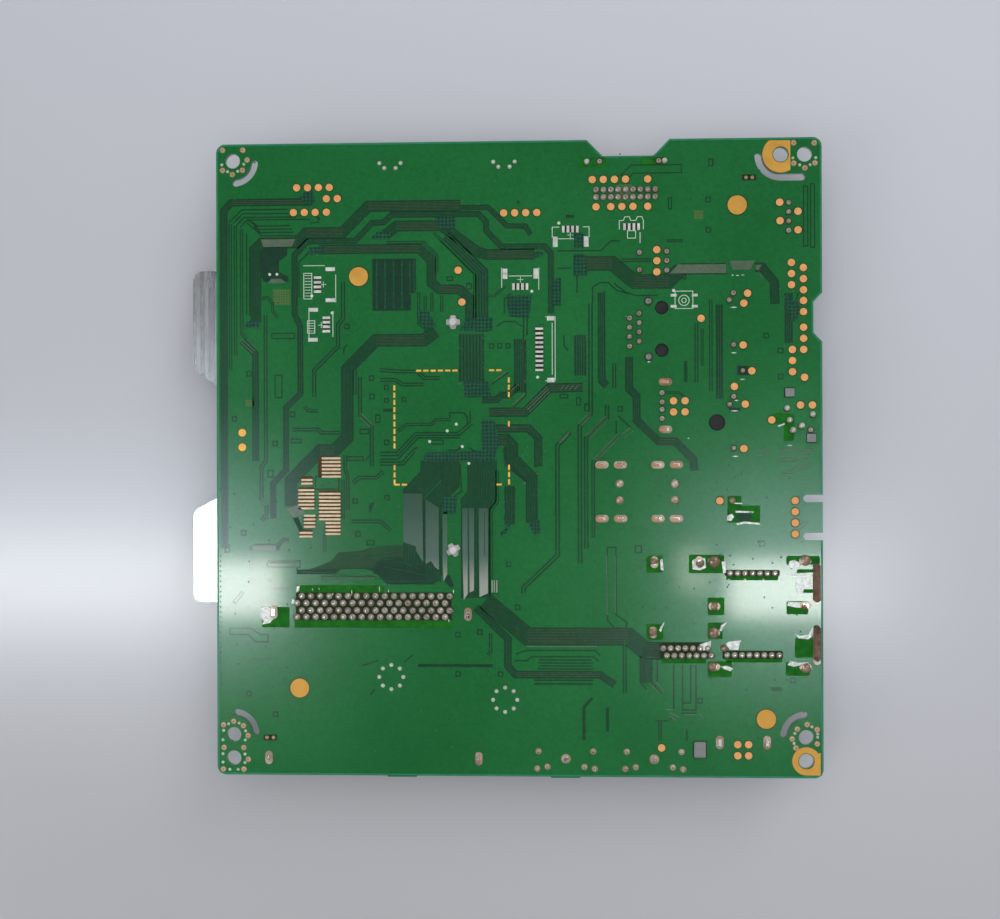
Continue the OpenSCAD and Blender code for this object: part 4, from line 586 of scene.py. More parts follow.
def maskTracks(given):
    lines = [line for width, count, *path in trackBundles for line in bundleLines(width, count, path, given)]
    piece = meshPiece("maskTracks", joined(lines), finishOf["mask_tracks"])
    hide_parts("copper_tracks")


def loneLines(given):
    # the copper of a lone track has the colour of the ground round it
    lines = ribbons([(width * given["loneShare"], *path) for width, *path in loneTracks], given["lineHeight"])
    meshPiece("loneLines", joined(lines), finishOf["solder_mask"])


def litTracks(given):
    # lines that run across the board catch the light of the room: the same lines, a hair higher and paler
    lines = []
    for width, count, *path in trackBundles:
        points = pairs(path)
        for start, end in zip(points, points[1:]):
            if abs(end[1] - start[1]) < given["slope"] * abs(end[0] - start[0]) and count >= given["fewest"]:
                lines += bundleLines(width, count, [start, end], given, given["litRise"])
    meshPiece("litTracks", joined(lines), finishOf["lit_tracks"])
    lines = ribbons(ofWidth(given["litWidth"], litStretches), given["lineHeight"] + 2 * given["litRise"])
    meshPiece("litLines", joined(lines), finishOf["pale_tracks"])


bareChannels(trackSizes)
maskTracks(trackSizes)
loneLines(trackSizes)
litTracks(trackSizes)
print("tracks made")


# ---- Bare, matte and printed fields of the solder side ----
def flatFinish(name, light, dark, rough, scale, grain, depth, specular=0.3):
    return plainFinish(name, light, dark, rough, scale, grain, depth, specular=specular, detail=5.0)


def dottedFinish(name, given):
    # rows of dimples or openings: a warped grid of dots of the second colour on the first
    material, tree, shader = newFinish(name)
    where = put(tree, "ShaderNodeTexCoord").outputs["Object"]
    noise = put(tree, "ShaderNodeTexNoise", {"Vector": where, "Scale": given["warpScale"], "Detail": 2.0})
    warp = put(tree, "ShaderNodeVectorMath", {0: noise.outputs["Color"], 1: (given["warp"],) * 3}, operation="MULTIPLY")
    moved = put(tree, "ShaderNodeVectorMath", {0: where, 1: warp.outputs[0]}, operation="ADD")
    place = put(tree, "ShaderNodeSeparateXYZ", {0: moved.outputs[0]}).outputs
    waves = [maths(tree, "SINE", maths(tree, "MULTIPLY", place[axis], 2 * math.pi / given["pitch"])) for axis in "XY"]
    mask = remap(tree, maths(tree, "ADD", *waves), *given["sharp"], smooth=True)
    colour = driftNode(tree, given["light"], given["dark"], 300, 4.0)["Color"]
    feed(tree, shader, {"Base Color": mixed(tree, mask, colour, given["dots"]), "Roughness": 0.35,
                        "Specular IOR Level": 0.15, "Normal": bump(tree, mask, given["depth"])})
    return material


silkFinish = flatFinish("silk_print", (0.60, 0.66, 0.58), (0.42, 0.50, 0.42), (0.5, 0.7), 2500, 6000, 2e-6)
bareFinish = flatFinish("bare_field", (0.012, 0.150, 0.011), (0.006, 0.075, 0.008), (0.5, 0.7), 500, 1500, 3e-5, 0.08)
brownFinish = flatFinish("bare_laminate", (0.085, 0.042, 0.022), (0.036, 0.026, 0.012), (0.5, 0.7), 900, 2500, 6e-6,
                         0.1)
# flux on the pin beds; the same colour serves as painted shade round the foot of joints
umberFinish = flatFinish("flux_and_shade_field", (0.020, 0.032, 0.012), (0.008, 0.016, 0.006), (0.4, 0.6), 700, 1800, 1.5e-5,
                         0.1)
darkFinish = flatFinish("dark_field", (0.0085, 0.040, 0.022), (0.0070, 0.033, 0.018), (0.3, 0.4), 600, 2500, 4e-6,
                        0.15)
stainFinish = flatFinish("flux_stain", (0.062, 0.118, 0.030), (0.020, 0.110, 0.028), (0.3, 0.45), 300, 1500, 8e-6)
burntFinish = flatFinish("burnt_flux", (0.17, 0.105, 0.075), (0.035, 0.013, 0.008), (0.3, 0.5), 500, 1400, 6e-5, 0.12)
# solder skins painted near white as highlights
skinGlintFinish = flatFinish("solder_skin_glint", (0.82, 0.84, 0.82), (0.34, 0.38, 0.35), (0.12, 0.3), 1300, 1200, 2e-5)
webFinish = flatFinish("web_field", (0.014, 0.062, 0.022), (0.010, 0.046, 0.018), (0.3, 0.4), 500, 2500, 4e-6, 0.2)
rimFinish = flatFinish("edge_band", (0.012, 0.19, 0.095), (0.010, 0.14, 0.070), (0.35, 0.5), 300, 3000, 4e-6)
viaFinish = dottedFinish("via_field", dict(
    light=(0.012, 0.088, 0.034), dark=(0.009, 0.066, 0.030), dots=(0.0055, 0.030, 0.026),
    pitch=1.0e-3, warpScale=500, warp=7e-4, sharp=(-0.5, 0.7), depth=2e-5))
hatchFinish = dottedFinish("hatched_field", dict(
    light=(0.040, 0.125, 0.030), dark=(0.028, 0.110, 0.028), dots=(0.100, 0.140, 0.045),
    pitch=7e-4, warpScale=50, warp=1e-5, sharp=(0.1, 1.2), depth=4e-6))

# boxes are left, right, bottom, top; matte fields where the wave of solder reached
solderBoxes = [
    (117.5, 122, 55.5, 60), (129, 138.5, 55.3, 60.3), (134, 138.5, 44, 48.7), (117.5, 122, 37.2, 41.5),
    (134, 138, 37.5, 42), (134, 140.5, 27.3, 31.5), (155, 161.3, 27.6, 31.4), (157.4, 162.5, 32.5, 37.8),
    (155.2, 161, 44.2, 47.8), (155.2, 164.2, 57.6, 60), (158, 164.2, 55, 56.4), (159.5, 162.6, 50, 51),
    (12.4, 20, 40.4, 46), (139.4, 148.2, 69, 73.6), (139.4, 143.2, 73.6, 76.2), (99.5, 107, 165.6, 168.2),
    (116.4, 123.6, 165.6, 168.2), (21.4, 65, 40.3, 42.6), (22.2, 46, 49.9, 52), (139, 153, 53.4, 56.2),
    (121.4, 133.6, 30.9, 32.4), (139, 154, 31.2, 32.4), (154.6, 157.4, 91, 98.4), (151.6, 154.4, 95.6, 98.6),
]
# bare laminate between the comb pads
combBoxes = [(28, 34.4, 81.6, 87.1), (23.1, 26.6, 79.4, 81.8), (22.4, 27.1, 72.6, 78.8), (28.1, 34.3, 69.6, 77.9),
             (23.9, 27.4, 67.7, 71.3), (22.7, 26.6, 64.9, 67.3), (29.9, 34.3, 65.7, 69.4)]
# dark pin beds, the openings round via pairs and behind the pads of unfitted connectors
umberBoxes = [
    (21.8, 64.6, 42.4, 50), (121, 134.4, 32.2, 36.6), (138, 154.2, 32.2, 34.4), (138.6, 153.4, 54.6, 56.2),
    (27, 29, 131.9, 136.7), (29.4, 31.4, 121, 125.7), (94.8, 99.6, 147.9, 149.7), (81.2, 85.9, 132.4, 134.2),
    (111.4, 116.2, 148.4, 150.2), (87.6, 89.8, 110.1, 122.3), (143.6, 147.4, 161.5, 163.1), (12.7, 16.5, 9.4, 11),
]
# the dark block, shaded boxes and shapes of bare laminate
darkBoxes = [
    (129.9, 133.7, 5.2, 10), (154.6, 157.4, 102.7, 105.5), (160.6, 163.4, 90.4, 93.2), (43.1, 55, 131.7, 141.2),
    (43.1, 53.7, 127, 131.7), (140, 143, 99, 100), (142.1, 145.3, 108.8, 111.4),
]
darkShapes = [
    (12.3, 144.4, 19.6, 144.4, 19.6, 142.4, 17.4, 140.8, 17.4, 137.8, 20, 136.6, 20, 135.2, 13.4, 135.2, 12.3, 136.6),
    (21, 70.4, 22.6, 70.4, 24, 66.8, 23, 66.4),
    (141.6, 70.5, 142.6, 71.5, 145.2, 71.5, 146.2, 70.5, 145.2, 69.5, 142.6, 69.5),
    (117, 36.6, 121.4, 36.6, 121.4, 31.8, 116, 31.8), (62.6, 54.4, 64, 55, 65.2, 52, 64.4, 51.2, 62.8, 52.8),
    (79.4, 90, 80, 85.4, 85.4, 80.6, 85, 80, 79.2, 84.6, 78.7, 89),
]
# patches of small vias
viaShapes = [
    (25.6, 144.6, 29.6, 144.6, 29.6, 143, 25.6, 142.4), (7.6, 122.6, 12, 122.6, 12, 124.4, 8.6, 124.4),
    (42.4, 146.6, 47.6, 146.6, 48.2, 148.2, 45, 149), (23, 158.4, 26.6, 160.4, 27.4, 157, 25.6, 155.6),
    (66.8, 121.4, 76, 121.4, 76, 125, 69, 124.6), (68, 107.6, 75, 107.6, 75.6, 103.2, 68.4, 103.2),
    (57, 85.8, 57.4, 88.2, 72.8, 88.6, 72.8, 97, 76.4, 97, 77.8, 90.6, 76.2, 85.8),
    (79.4, 131, 86.6, 131, 86, 124.6, 80.6, 125.2), (92.3, 128, 94.6, 128, 94.6, 136, 92.3, 134.6),
    (60.2, 152.6, 66, 152.6, 66, 149.6, 62, 149), (98.2, 147.6, 100.8, 147.6, 100.8, 143.6, 98.2, 143.6),
    (98, 142, 98, 136.2, 102, 136.2, 101, 142), (154.6, 130.4, 159, 128, 158.4, 123.6, 156.8, 123.4),
    (62.2, 76, 66.4, 76.2, 65.8, 71.4, 62.4, 71.4), (85.4, 69.2, 88.6, 69.8, 88.6, 66, 87.2, 65.6),
    (77.8, 66.4, 81, 69.6, 80, 66.6, 78, 65), (87.4, 142.6, 88.8, 143, 90, 142, 87.4, 140.9),
    (55.6, 127, 58.4, 127, 60.6, 122.6, 57, 121.6), (42, 74.2, 43.6, 74.8, 42.8, 72.2, 42, 72),
]
# tracks in a glare of their own
paleShapes = [
    (12.4, 146.8, 21.8, 146.8, 21, 144.8, 13, 144.8), (140.2, 139.8, 147, 139.8, 145.8, 137.4, 141, 137.4),
    (15.2, 136, 17.9, 136, 19.4, 134.8, 14.4, 134.8), (19.4, 72.9, 22.4, 74, 24.4, 71.9, 21.4, 70.4),
    (9.9, 62.7, 16.4, 62.7, 16.4, 61.5, 9.9, 61.5), (126.4, 138.9, 139.3, 138.9, 139.3, 136.5, 124, 136.5),
    (147.2, 138.6, 148.8, 138.6, 148, 137.2, 147.2, 137.4),
]
hatchBoxes = [(15.7, 20.5, 128.8, 133.2), (130.6, 133.2, 151.2, 153.6), (8, 10.4, 101, 102.8)]
stainBoxes = [(109.4, 114.4, 156.4, 160.8)]
# bright skins of solder with painted highlights, near white: their outlines, then short strokes (middle and half
# length) lying and standing
skinGlintShapes = [
    (120.9, 39.8, 121.2, 40.6, 122.4, 42.2, 121.7, 40, 121.4, 39.4),
    (137.2, 39.8, 137.6, 41.2, 139.3, 42.2, 138.2, 40.6, 137.7, 39.6),
    (138.8, 36.2, 139.6, 36.8, 143, 37.2, 142.6, 36.4, 142.2, 34.6, 140, 34.6),
    (131.4, 35, 132, 36.1, 134.9, 37, 134.8, 35.2, 133, 34.4),
    (137.4, 30.1, 139.2, 30.3, 140.8, 29.6, 140.1, 28.8, 138.4, 29.4),
    (155.4, 30.6, 156.1, 31.7, 158, 31.2, 161.2, 31.3, 159.4, 30.6, 157, 30.1),
    (157.4, 39, 158.8, 38.4, 161, 38.8, 162.2, 41, 162.6, 39, 161, 37.5, 158.4, 37.8),
    (130, 56.4, 129.9, 58.8, 131.4, 59.5, 133.4, 59.4, 133.6, 56.8, 132, 56.1),
    (138.2, 55.4, 137.8, 58.4, 138.8, 58.6, 139, 55.4), (121.4, 56.2, 121.2, 59, 121.9, 59.2, 122.2, 56),
    (155.6, 57, 156, 58.6, 157.4, 58.9, 158.8, 58, 158.6, 57, 157, 56.6),
    (155.4, 55.2, 163.6, 55.6, 163.8, 55.1, 157, 54.6),
    (157.8, 50, 157.6, 54, 161.4, 54.4, 162, 51.6, 160, 51.4, 159.4, 49.8),
    (155.4, 46.6, 155.6, 47.6, 160.6, 47.4, 160.4, 46.2, 158, 46),
    (139.2, 69.6, 139.4, 70.8, 140.6, 71.4, 141.2, 70.6, 140.4, 69.4),
    (141.6, 72.2, 146.6, 72, 146.4, 71.6, 141.6, 71.7),
    (141.8, 68.8, 144, 69.3, 148, 68.9, 148.2, 68.4, 144, 68.7, 142, 68.3),
    (141, 74.4, 143.4, 74.3, 143.2, 74, 141, 74.1),
    (12.4, 41.2, 13, 42, 12, 43.2, 12, 45.6, 13.6, 46.2, 15.4, 45.4, 16, 43.2, 14.6, 41.6),
    (21.9, 50, 22.1, 51.6, 22.9, 51.8, 22.7, 50.4), (20.6, 47, 20.8, 48.2, 21.6, 47.8, 21.4, 46.8),
    (153, 95.2, 154.8, 95.8, 154.9, 95.5, 153.2, 94.8),
]
lyingStrokes = [
    (141.2, 127.2, 1), (141.3, 114.9, 0.8), (143.6, 107.7, 0.8), (141.4, 99.2, 1.2), (141.6, 86.9, 0.9),
    (156.2, 89.8, 0.8), (142, 102, 0.6), (142.3, 135.8, 0.5), (143.7, 135.9, 0.5), (141, 135.9, 0.3),
    (112.3, 125, 0.1), (118.4, 112.6, 0.5), (118.2, 128.4, 0.4), (145.6, 71.8, 0.5), (129, 91.8, 0.3),
]
standingStrokes = [
    (44.8, 51, 0.9), (37.2, 50, 0.9), (47.3, 50.4, 0.4), (26.4, 50.8, 0.4), (28.2, 51, 0.4), (32, 49.6, 0.4),
    (65.1, 50.3, 0.6), (64.9, 45, 0.3), (63.8, 42.4, 0.5),
]
strokeHalf = dict(lying=0.18, standing=0.12)
skinGlintShapes += [(x - w, y, x, y + strokeHalf["lying"], x + w, y, x, y - strokeHalf["lying"]) for x, y, w in lyingStrokes]
skinGlintShapes += [(x - strokeHalf["standing"], y, x, y + h, x + strokeHalf["standing"], y, x, y - h)
               for x, y, h in standingStrokes]
# caps of old solder on the legs of the upright jacks, each half a width and half a depth from its middle
legCaps = [(x, y) for y in (84.5, 69.8) for x in (105, 110.1, 120.2, 125.3)] + [(122.2, 107.2), (122.2, 94.2)]
legCapHalf = (0.95, 0.45)
legCapBoxes = [(x - legCapHalf[0], x + legCapHalf[0], y - legCapHalf[1], y + legCapHalf[1]) for x, y in legCaps]

# tones of the painted reflection on the upright bundles, dark to silver between the stops
sheenTone = dict(stops=(76, 61, 51), tones=((0.030, 0.078, 0.048), (0.072, 0.125, 0.100), (0.29, 0.32, 0.27)),
                threads=2400, shade=(0.84, 1.0))


def sheenFinish(name, given):
    # painted reflection of the window: where the upright bundles run towards it they are painted grey, then silver,
    # under faint upright lines
    material, tree, shader = newFinish(name)
    place = axes(tree)
    stops = [float(onBoard([0, y])[0, 1]) for y in given["stops"]]
    tone = given["tones"][0]
    for start, stop, colour in zip(stops, stops[1:], given["tones"][1:]):
        tone = mixed(tree, remap(tree, place["Y"], start, stop, smooth=True), tone, colour)
    thread = maths(tree, "SINE", maths(tree, "MULTIPLY", place["X"], given["threads"] * 2 * math.pi))
    shade = remap(tree, thread, -1.0, 1.0, to=given["shade"])
    feed(tree, shader, {"Base Color": greyed(tree, tone, shade), "Roughness": 0.4, "Specular IOR Level": 0.2})
    return material


# outlines of the painted reflection
sheenShapes = [
    (51.4, 77, 56.6, 77, 56.8, 58.4, 54.9, 61.4, 54.8, 62.6, 51.4, 63.8),
    (57.5, 75.4, 61.1, 73.2, 61.1, 56.2, 60, 57, 59, 58.6, 57.5, 57.8),
    (62.3, 72, 63.4, 72, 63.4, 55, 62.4, 53, 62.2, 58), (67.5, 73, 69, 73, 69, 49.6, 67.9, 48, 67.6, 60),
    (69.4, 73, 70.8, 73, 70.7, 50.6, 69.5, 50), (72, 73, 74.6, 73, 74.5, 49.8, 72.2, 48.8),
    (75.5, 53.4, 75.8, 53.4, 75.8, 50, 75.5, 50), (76.1, 53.4, 76.4, 53.4, 76.4, 50, 76.1, 50),
    (76.8, 53.4, 77.1, 53.4, 77.1, 50, 76.8, 50),
]
# small marks of mask in the glare: rungs of two ladders, pads, stitching along the edge and a grid of vias
glareMarks = [(8.8, 10.2, 56 + 0.66 * k, 56.3 + 0.66 * k) for k in range(6)]
glareMarks += [(8.8, 10.2, 52.3 + 0.66 * k, 52.6 + 0.66 * k) for k in range(3)]
glareMarks += [(14, 15.2, 52.7, 53.9), (15.5, 19.7, 50.6, 51.4), (17.1, 17.5, 47, 47.4), (8.3, 9.3, 45.6, 46.5)]
glareMarks += [(x, x + 0.4, y, y + 0.4) for x, y in
               ((13.1, 56.6), (13.1, 54.6), (13.1, 53.6), (15.6, 54.3), (12.1, 47.1), (14.6, 47.1))]
glareMarks += [(0.95, 1.3, 22 + 1.3 * k, 22.35 + 1.3 * k) for k in range(24)]
glareMarks += [(x, x + 0.4, y, y + 0.4) for x in (139.6, 143.9, 148.8, 153.8) for y in (43.2, 48.3, 53.4)]

# the routed web of fine lines above the card slot: a brown upper part, a dark lower one and a bright gap between
webField = (24, 55.6, 31.5, 58.6, 33.6, 61, 39, 61.3, 43, 62.4, 50.6, 63.2, 54.6, 61.4, 54.8, 58.6, 45, 57.4, 43.6, 55)
webShade = (44.2, 58.6, 47, 59.6, 52, 59.6, 54, 61.4, 55, 61.6, 54.9, 59.2, 57.4, 57, 62.2, 55, 59.6, 52.2, 47, 52.2,
            44, 55, 22, 55, 22, 56.2, 43.2, 56.8)
webGap = (32.8, 55.2, 34.4, 56.4, 41.4, 56.4, 43.4, 55.6, 42.6, 55)
webPaths = [(44.6, 54.2, 47.4, 53, 59, 53, 61, 55), (23, 55.6, 32, 55.5), (46, 57, 58, 54.6),
            (45.6, 58.2, 51, 58.2, 55.6, 56.4)]
webPaths += [(40 + 1.2 * k, 61 - 0.9 * k, 50.5 - 0.5 * k, 62 - 0.9 * k) for k in range(4)]

# the dark block of parallel bars, with faint ends
blockPaths = [(x, 127.4, x, 140.8) for x in (44.3, 46.6, 48.9, 51.2)] + [(x, 132, x, 140.8) for x in (53.4, 54.5)]
blockEnds = [(x - 0.25, x + 0.25, y - 0.2, y + 0.2) for x in (44.3, 46.6, 48.9, 51.2, 53.4)
             for y in (139.6, 136.8, 131.6, 128)]
# strips of plain mask across the painted reflection
sheenGaps = [(0.25, 69.25, 73, 69.25, 50), (0.4, 71.4, 72, 71.4, 50.4), (0.3, 73.6, 72, 73.6, 60)]


def fields(name, finish, outlines, height):
    meshPiece(name, joined([field(outline, height) for outline in outlines]), finish)


def strips(name, rows, height):
    meshPiece(name, joined(ribbons(rows, height)), finishOf["mask_tracks"])


# height of each above the board in millimetres, so that what lies on another stands clear of it
fields("solderFields", bareFinish, oblongs(solderBoxes, 0.3), 0.03)
fields("combFields", brownFinish, oblongs(combBoxes, 0.4), 0.035)
fields("viaFields", viaFinish, viaShapes, 0.1)
fields("pinBeds", umberFinish, oblongs(umberBoxes, 0.2), 0.04)
fields("darkFields", darkFinish, oblongs(darkBoxes) + darkShapes, 0.05)
fields("paleFields", finishOf["pale_tracks"], paleShapes, 0.1)
fields("hatchedFields", hatchFinish, oblongs(hatchBoxes), 0.03)
fields("fluxStains", stainFinish, oblongs(stainBoxes, 0.8), 0.03)
# solder skins with painted highlights
fields("solderSkinGlints", skinGlintFinish, skinGlintShapes, 0.16)
fields("legCaps", finishOf["aged_copper"], oblongs(legCapBoxes, 0.25), 1.06)
# the painted reflection of the window, and the mask lines across it
fields("paintedSheens", sheenFinish("painted_sheen_tracks", sheenTone), sheenShapes, 0.1)
strips("sheenGaps", sheenGaps, 0.12)
fields("glareMarks", finishOf["mask_tracks"], oblongs(glareMarks), 0.05)
fields("webField", webFinish, [webField], 0.025)
fields("webShade", darkFinish, [webShade], 0.04)
fields("webGap", finishOf["solder_mask"], [webGap], 0.06)
strips("webLines", ofWidth(0.3, webPaths), 0.08)
strips("blockBars", ofWidth(0.42, blockPaths), 0.07)
fields("blockEnds", finishOf["solder_mask"], oblongs(blockEnds), 0.085)

# ---- White print round the unfitted connectors: two at the left, two along the top, one by the power header,
# the long one and the switch ----
silkPaths = [
    (24.1, 139.5, 30, 139.5), (33, 129.4, 33, 137), (24.2, 130.4, 24.2, 137.4, 26.4, 137.4, 26.4, 130.4, 24.2, 130.4),
    (25.6, 128, 25.6, 119), (32.2, 120, 32.2, 127), (25.2, 121, 25.2, 124.4, 27.2, 124.4, 27.2, 121, 25.2, 121),
    (92.3, 146.6, 92.3, 149.4, 94.2, 149.4), (100.6, 149.4, 102.3, 149.4, 102.3, 146.6), (93.9, 146.2, 100.7, 146.2),
    (78.5, 132.4, 78.5, 138.4), (88.6, 132.4, 88.6, 138.4), (80.4, 136.2, 86.8, 136.2),
    (110.5, 148.6, 110.5, 151, 111.6, 151, 112, 152, 113.2, 152, 113.6, 151, 115, 151, 115.4, 152, 116.6, 152, 117,
     151, 117, 148.6),
    (112.7, 146.2, 114.9, 146.2, 114.9, 148.2, 112.7, 148.2, 112.7, 146.2), (116.1, 144.8, 116.1, 147.8),
    (90.3, 125, 93, 125, 93, 107.6, 90.3, 107.6), (92.2, 109.3, 92.2, 123.3),
    (125.5, 127, 130.3, 127, 130.3, 131.7, 125.5, 131.7, 125.5, 127),
]
silkDots = [
    (26.4, 131.2), (32, 126.5), (94.1, 150.5), (86.7, 132), (88.2, 108.6), (125.1, 131.9), (14.8, 137.2),
    (16.8, 137.2), (58.7, 91.2), (66, 95.9), (63.5, 94.1), (67.6, 89.8), (69.4, 85.2), (140, 70.3),
]
silkCrosses = [(29.6, 134.3), (29, 123.2), (97.2, 147.2), (83.6, 135.2)]
silkHatch = [(24.4, y, 26.2, y) for y in np.arange(131.2, 137, 0.8)]
silkHatch += [(25.4, y, 27, y) for y in np.arange(121.6, 124.2, 0.7)]
silkSizes = dict(line=0.2, height=0.03, dot=[(0, 0), (0.42, 0), (0.38, 0.08), (0, 0.08)], dotSides=16, arm=0.8,
                 hatch=0.16, switch=(127.9, 129.2), switchRadii=(1.4, 0.6), ringSides=32)


def silkPrint(given):
    height, arm = given["height"], given["arm"]
    parts = ribbons(ofWidth(given["line"], silkPaths), height)
    parts.append(turned(silkDots, given["dot"], given["dotSides"]))
    for radius in given["switchRadii"]:
        ring = [(radius - 0.1, 0), (radius + 0.1, 0), (radius + 0.05, height), (radius - 0.05, height)]
        parts.append(turned([given["switch"]], ring, given["ringSides"], closed=True))
    crosses = [(x - arm, y, x + arm, y) for x, y in silkCrosses] + [(x, y - arm, x, y + arm) for x, y in silkCrosses]
    parts += ribbons(ofWidth(given["hatch"], crosses + silkHatch), height)
    meshPiece("silkPrint", joined(parts), silkFinish)


silkPrint(silkSizes)
print("print made")

# ---- Openings in the mask round pads, the bare rim, and rings of copper round the leads ----
fourUp = (0, 3, 6, 9)
testPads = [(22.3 + x, 160.9) for x in fourUp] + [(21.4 + x, 154.1) for x in fourUp]
testPads += [(79.1 + x, 153.4) for x in fourUp] + [(103.2 + x, 162.2) for x in fourUp]
testPads += [(x, 154.8) for x in (104.2, 108.2, 111.2, 114.2, 118.2)] + [(120.6, y) for y in (143, 140, 137)]
testPads += [(156.8, y) for y in (139.2, 136.2, 133.2)] + [(157, y) for y in (115.7, 112.7, 109.7)]
testPads += [(160, y) for y in (137.8, 134.8, 131.8, 128.9, 125.9, 121.7, 118.7, 115.7)]
testPads += [(157.6, y) for y in (74.9, 71.9, 68.9, 65.9)] + [(x, y) for x in (125, 128.1) for y in (102, 99)]
testPads += [
    (30.5, 157.8), (33.5, 157.8), (118.2, 162.2), (66.6, 137.9), (67.6, 129.2), (153.7, 155.5), (158.6, 153),
    (153.8, 150.5), (158.6, 148), (160.2, 108.2), (145, 131), (144, 128.3), (132.5, 124.3), (143.8, 117), (146.1, 110),
    (141.4, 105.8), (144.3, 101), (143.9, 89), (159.1, 100.7), (162.3, 100.7), (151.4, 96.7), (137.4, 74.9),
    (121.5, 8), (142, 9), (144.9, 9), (142, 6), (144.9, 6), (7.1, 93.8), (7.1, 89.8),
]
fiducials = [(39.3, 136.4), (142.3, 154.9), (22.8, 23.8), (149.7, 15.9)]
openingSizes = dict(pad=1.0, fiducial=2.6, margin=0.02, gap=0.28, height=0.04)


def maskOpenings(given):
    parts = [rings(centres, radius + given["margin"], radius + given["gap"], given["height"])
             for centres, radius in ((testPads, given["pad"]), (fiducials, given["fiducial"]))]
    meshPiece("maskOpenings", joined(parts), darkFinish)


maskOpenings(openingSizes)

# a paler green band along the edge, from the lower left corner round; the slots in the right edge are left out
rimPaths = [
    (2.2, 0.28, 162.8, 0.28, 164.3, 0.9, 164.72, 2.4, 164.72, 63.8),
    (164.72, 77, 164.72, 117.6, 162.4, 120.2, 162.4, 128.6, 164.72, 131.2, 164.72, 170.6, 164.2, 172.1, 162.6, 172.72,
     124.2, 172.72, 119.9, 168.3, 105.9, 168.3, 101.6, 172.72, 2.4, 172.72, 0.9, 172.1, 0.28, 170.6, 0.28, 2.4, 0.9,
     0.8, 2.2, 0.28),
]
rimSize = dict(width=0.5, height=0.03)
rims = ribbons(ofWidth(rimSize["width"], rimPaths), rimSize["height"])
meshPiece("edgeBand", joined(rims), rimFinish)

# ---- Leads: rings of copper, solder cones with shining shoulders, rounded tips ----
def rowOf(centre, count, step, along=(1, 0)):
    offsets = (np.arange(count) - (count - 1) / 2) * step
    return np.asarray(centre) + offsets[:, None] * np.asarray(along, float)


cardRows = [rowOf((43.1 + x, 46.1 + y), 17, 2.54) for x, y in ((0.635, 2.9), (-0.635, 1), (0.635, -1), (-0.635, -2.8))]
closeRows = [rowOf((112.2, 159.4), 9, 2), rowOf((112.2, 157.4), 9, 2), rowOf((146.1, 55.3), 7, 2),
             rowOf((146.2, 33.2), 8, 2), rowOf((128, 35), 7, 2), rowOf((129, 33), 7, 2)]
looseLeads = [
    (123.3, 142.5), (123.3, 140), (123.3, 137.4), (115.9, 142.3), (115.9, 137.6), (156.1, 155.4), (156.1, 152.9),
    (156.1, 150.4), (156.1, 147.9), (121.9, 104.2), (121.9, 101.7), (121.9, 99.7), (121.9, 97.2), (141.2, 131.1),
    (141.2, 117.1), (141.2, 103.1), (141.2, 89.1), (140.1, 129.2), (140.1, 101), (143.7, 110.1), (155.4, 99.7),
    (156.3, 96.7), (156.8, 93.8), (159.2, 95), (162.4, 98), (161.8, 94), (105.2, 167.1), (121.2, 167.1),
    (101.7, 167.1), (122.8, 167.1),
]
looseLeads += [(113.2 + 2.54 * r, 124.5 - 2.54 * i + 1.27 * r) for i in range(4) for r in range(2)]
ringedLeads = [(x + dx, 4.9 + dy) for x in (95.6, 119.5)
               for dx, dy in ((-7.4, 2), (-7.8, -2.7), (-5, -2.2), (5, -2.2), (7.8, -2.7), (7.4, 2))]
thickLeads = [(95.6, 4.9), (119.5, 4.9)]
farLeads = [(118.3, 129.05), (118.3, 113.95)]
shellLeads = [(110.4, 79.6), (110.4, 75.1), (125.3, 79.5), (125.3, 75.1)]
# the dots round the corner holes have bare copper at the rim and in the middle
cornerDots = [
    (1.7, 13.6), (4.5, 14.6), (7.2, 13.4), (8.5, 10.7), (1.8, 7.4), (7.3, 7.4), (8.5, 4.2), (7.3, 1.5), (1.6, 1.5),
    (1.8, 171.4), (7.4, 171.4), (8.6, 168.7), (7.3, 165.9), (4.5, 164.7), (1.8, 165.9), (160.6, 14.5), (158, 13.3),
    (163.3, 13.2), (156.6, 10.6), (157.6, 8.2), (163.3, 9.3), (157.5, 171.5), (163, 171.4), (157.5, 166),
    (160.5, 164.7), (163.2, 166),
]
viaPairs = [(144.7, 162.3), (146.4, 162.3), (13.7, 10.2), (15.5, 10.2)]
# each kind of joint: places, foot, how far a ring of copper and a ring of shade reach past it, and its tone
jointKinds = [
    (cardRows, 0.92, 0, 0.16, "bright"), (closeRows, 0.86, 0, 0.12, "bright"), ([looseLeads], 0.7, 0, 0.22, "pale"),
    ([ringedLeads], 0.78, 0.08, 0, "pale"), ([thickLeads], 1.2, 0.12, 0, "pale"), ([farLeads], 0.9, 0, 0.3, "bright"),
    ([shellLeads], 1.02, 0.06, 0, "pale"),
]
# brown domes over the legs of the sockets, and white ones: middle and foot
brownCaps = [
    (135.8, 58.4, 1.7), (135.6, 39.2, 1.55), (135.4, 30, 1.4), (160.3, 58.8, 1.5), (119.6, 58.5, 1.15),
    (119.2, 39.3, 1.25), (135.8, 46.4, 1.25), (160.3, 29.7, 1.4), (138.3, 35, 1), (140.7, 75, 1), (132, 58, 1.2),
    (160, 46.4, 1),
]
whiteCaps = [(x, y, 0.8) for x, y in ((155.5, 99.9), (156.2, 96.7), (159.5, 95.2), (157.1, 94), (162.4, 98.2),
                                      (101.7, 167.1), (122.8, 167.1), (15.6, 43.8))]
# solder along the edge sockets: left, right, bottom, top
edgeRidges = [(162.4, 164.2, 47.6, 58), (162.4, 164.2, 31.6, 41.2)]
jointSizes = dict(lift=0.01, high=0.8, roundness=0.86, sides=24, under=0.1, knob=((0.2, 0.09), (0.1, 0.15), (0, 0.16)),
                  ring=0.05, cap=1.22, capSides=28, dotRing=(0.4, 0.76), ridgeCut=0.6)
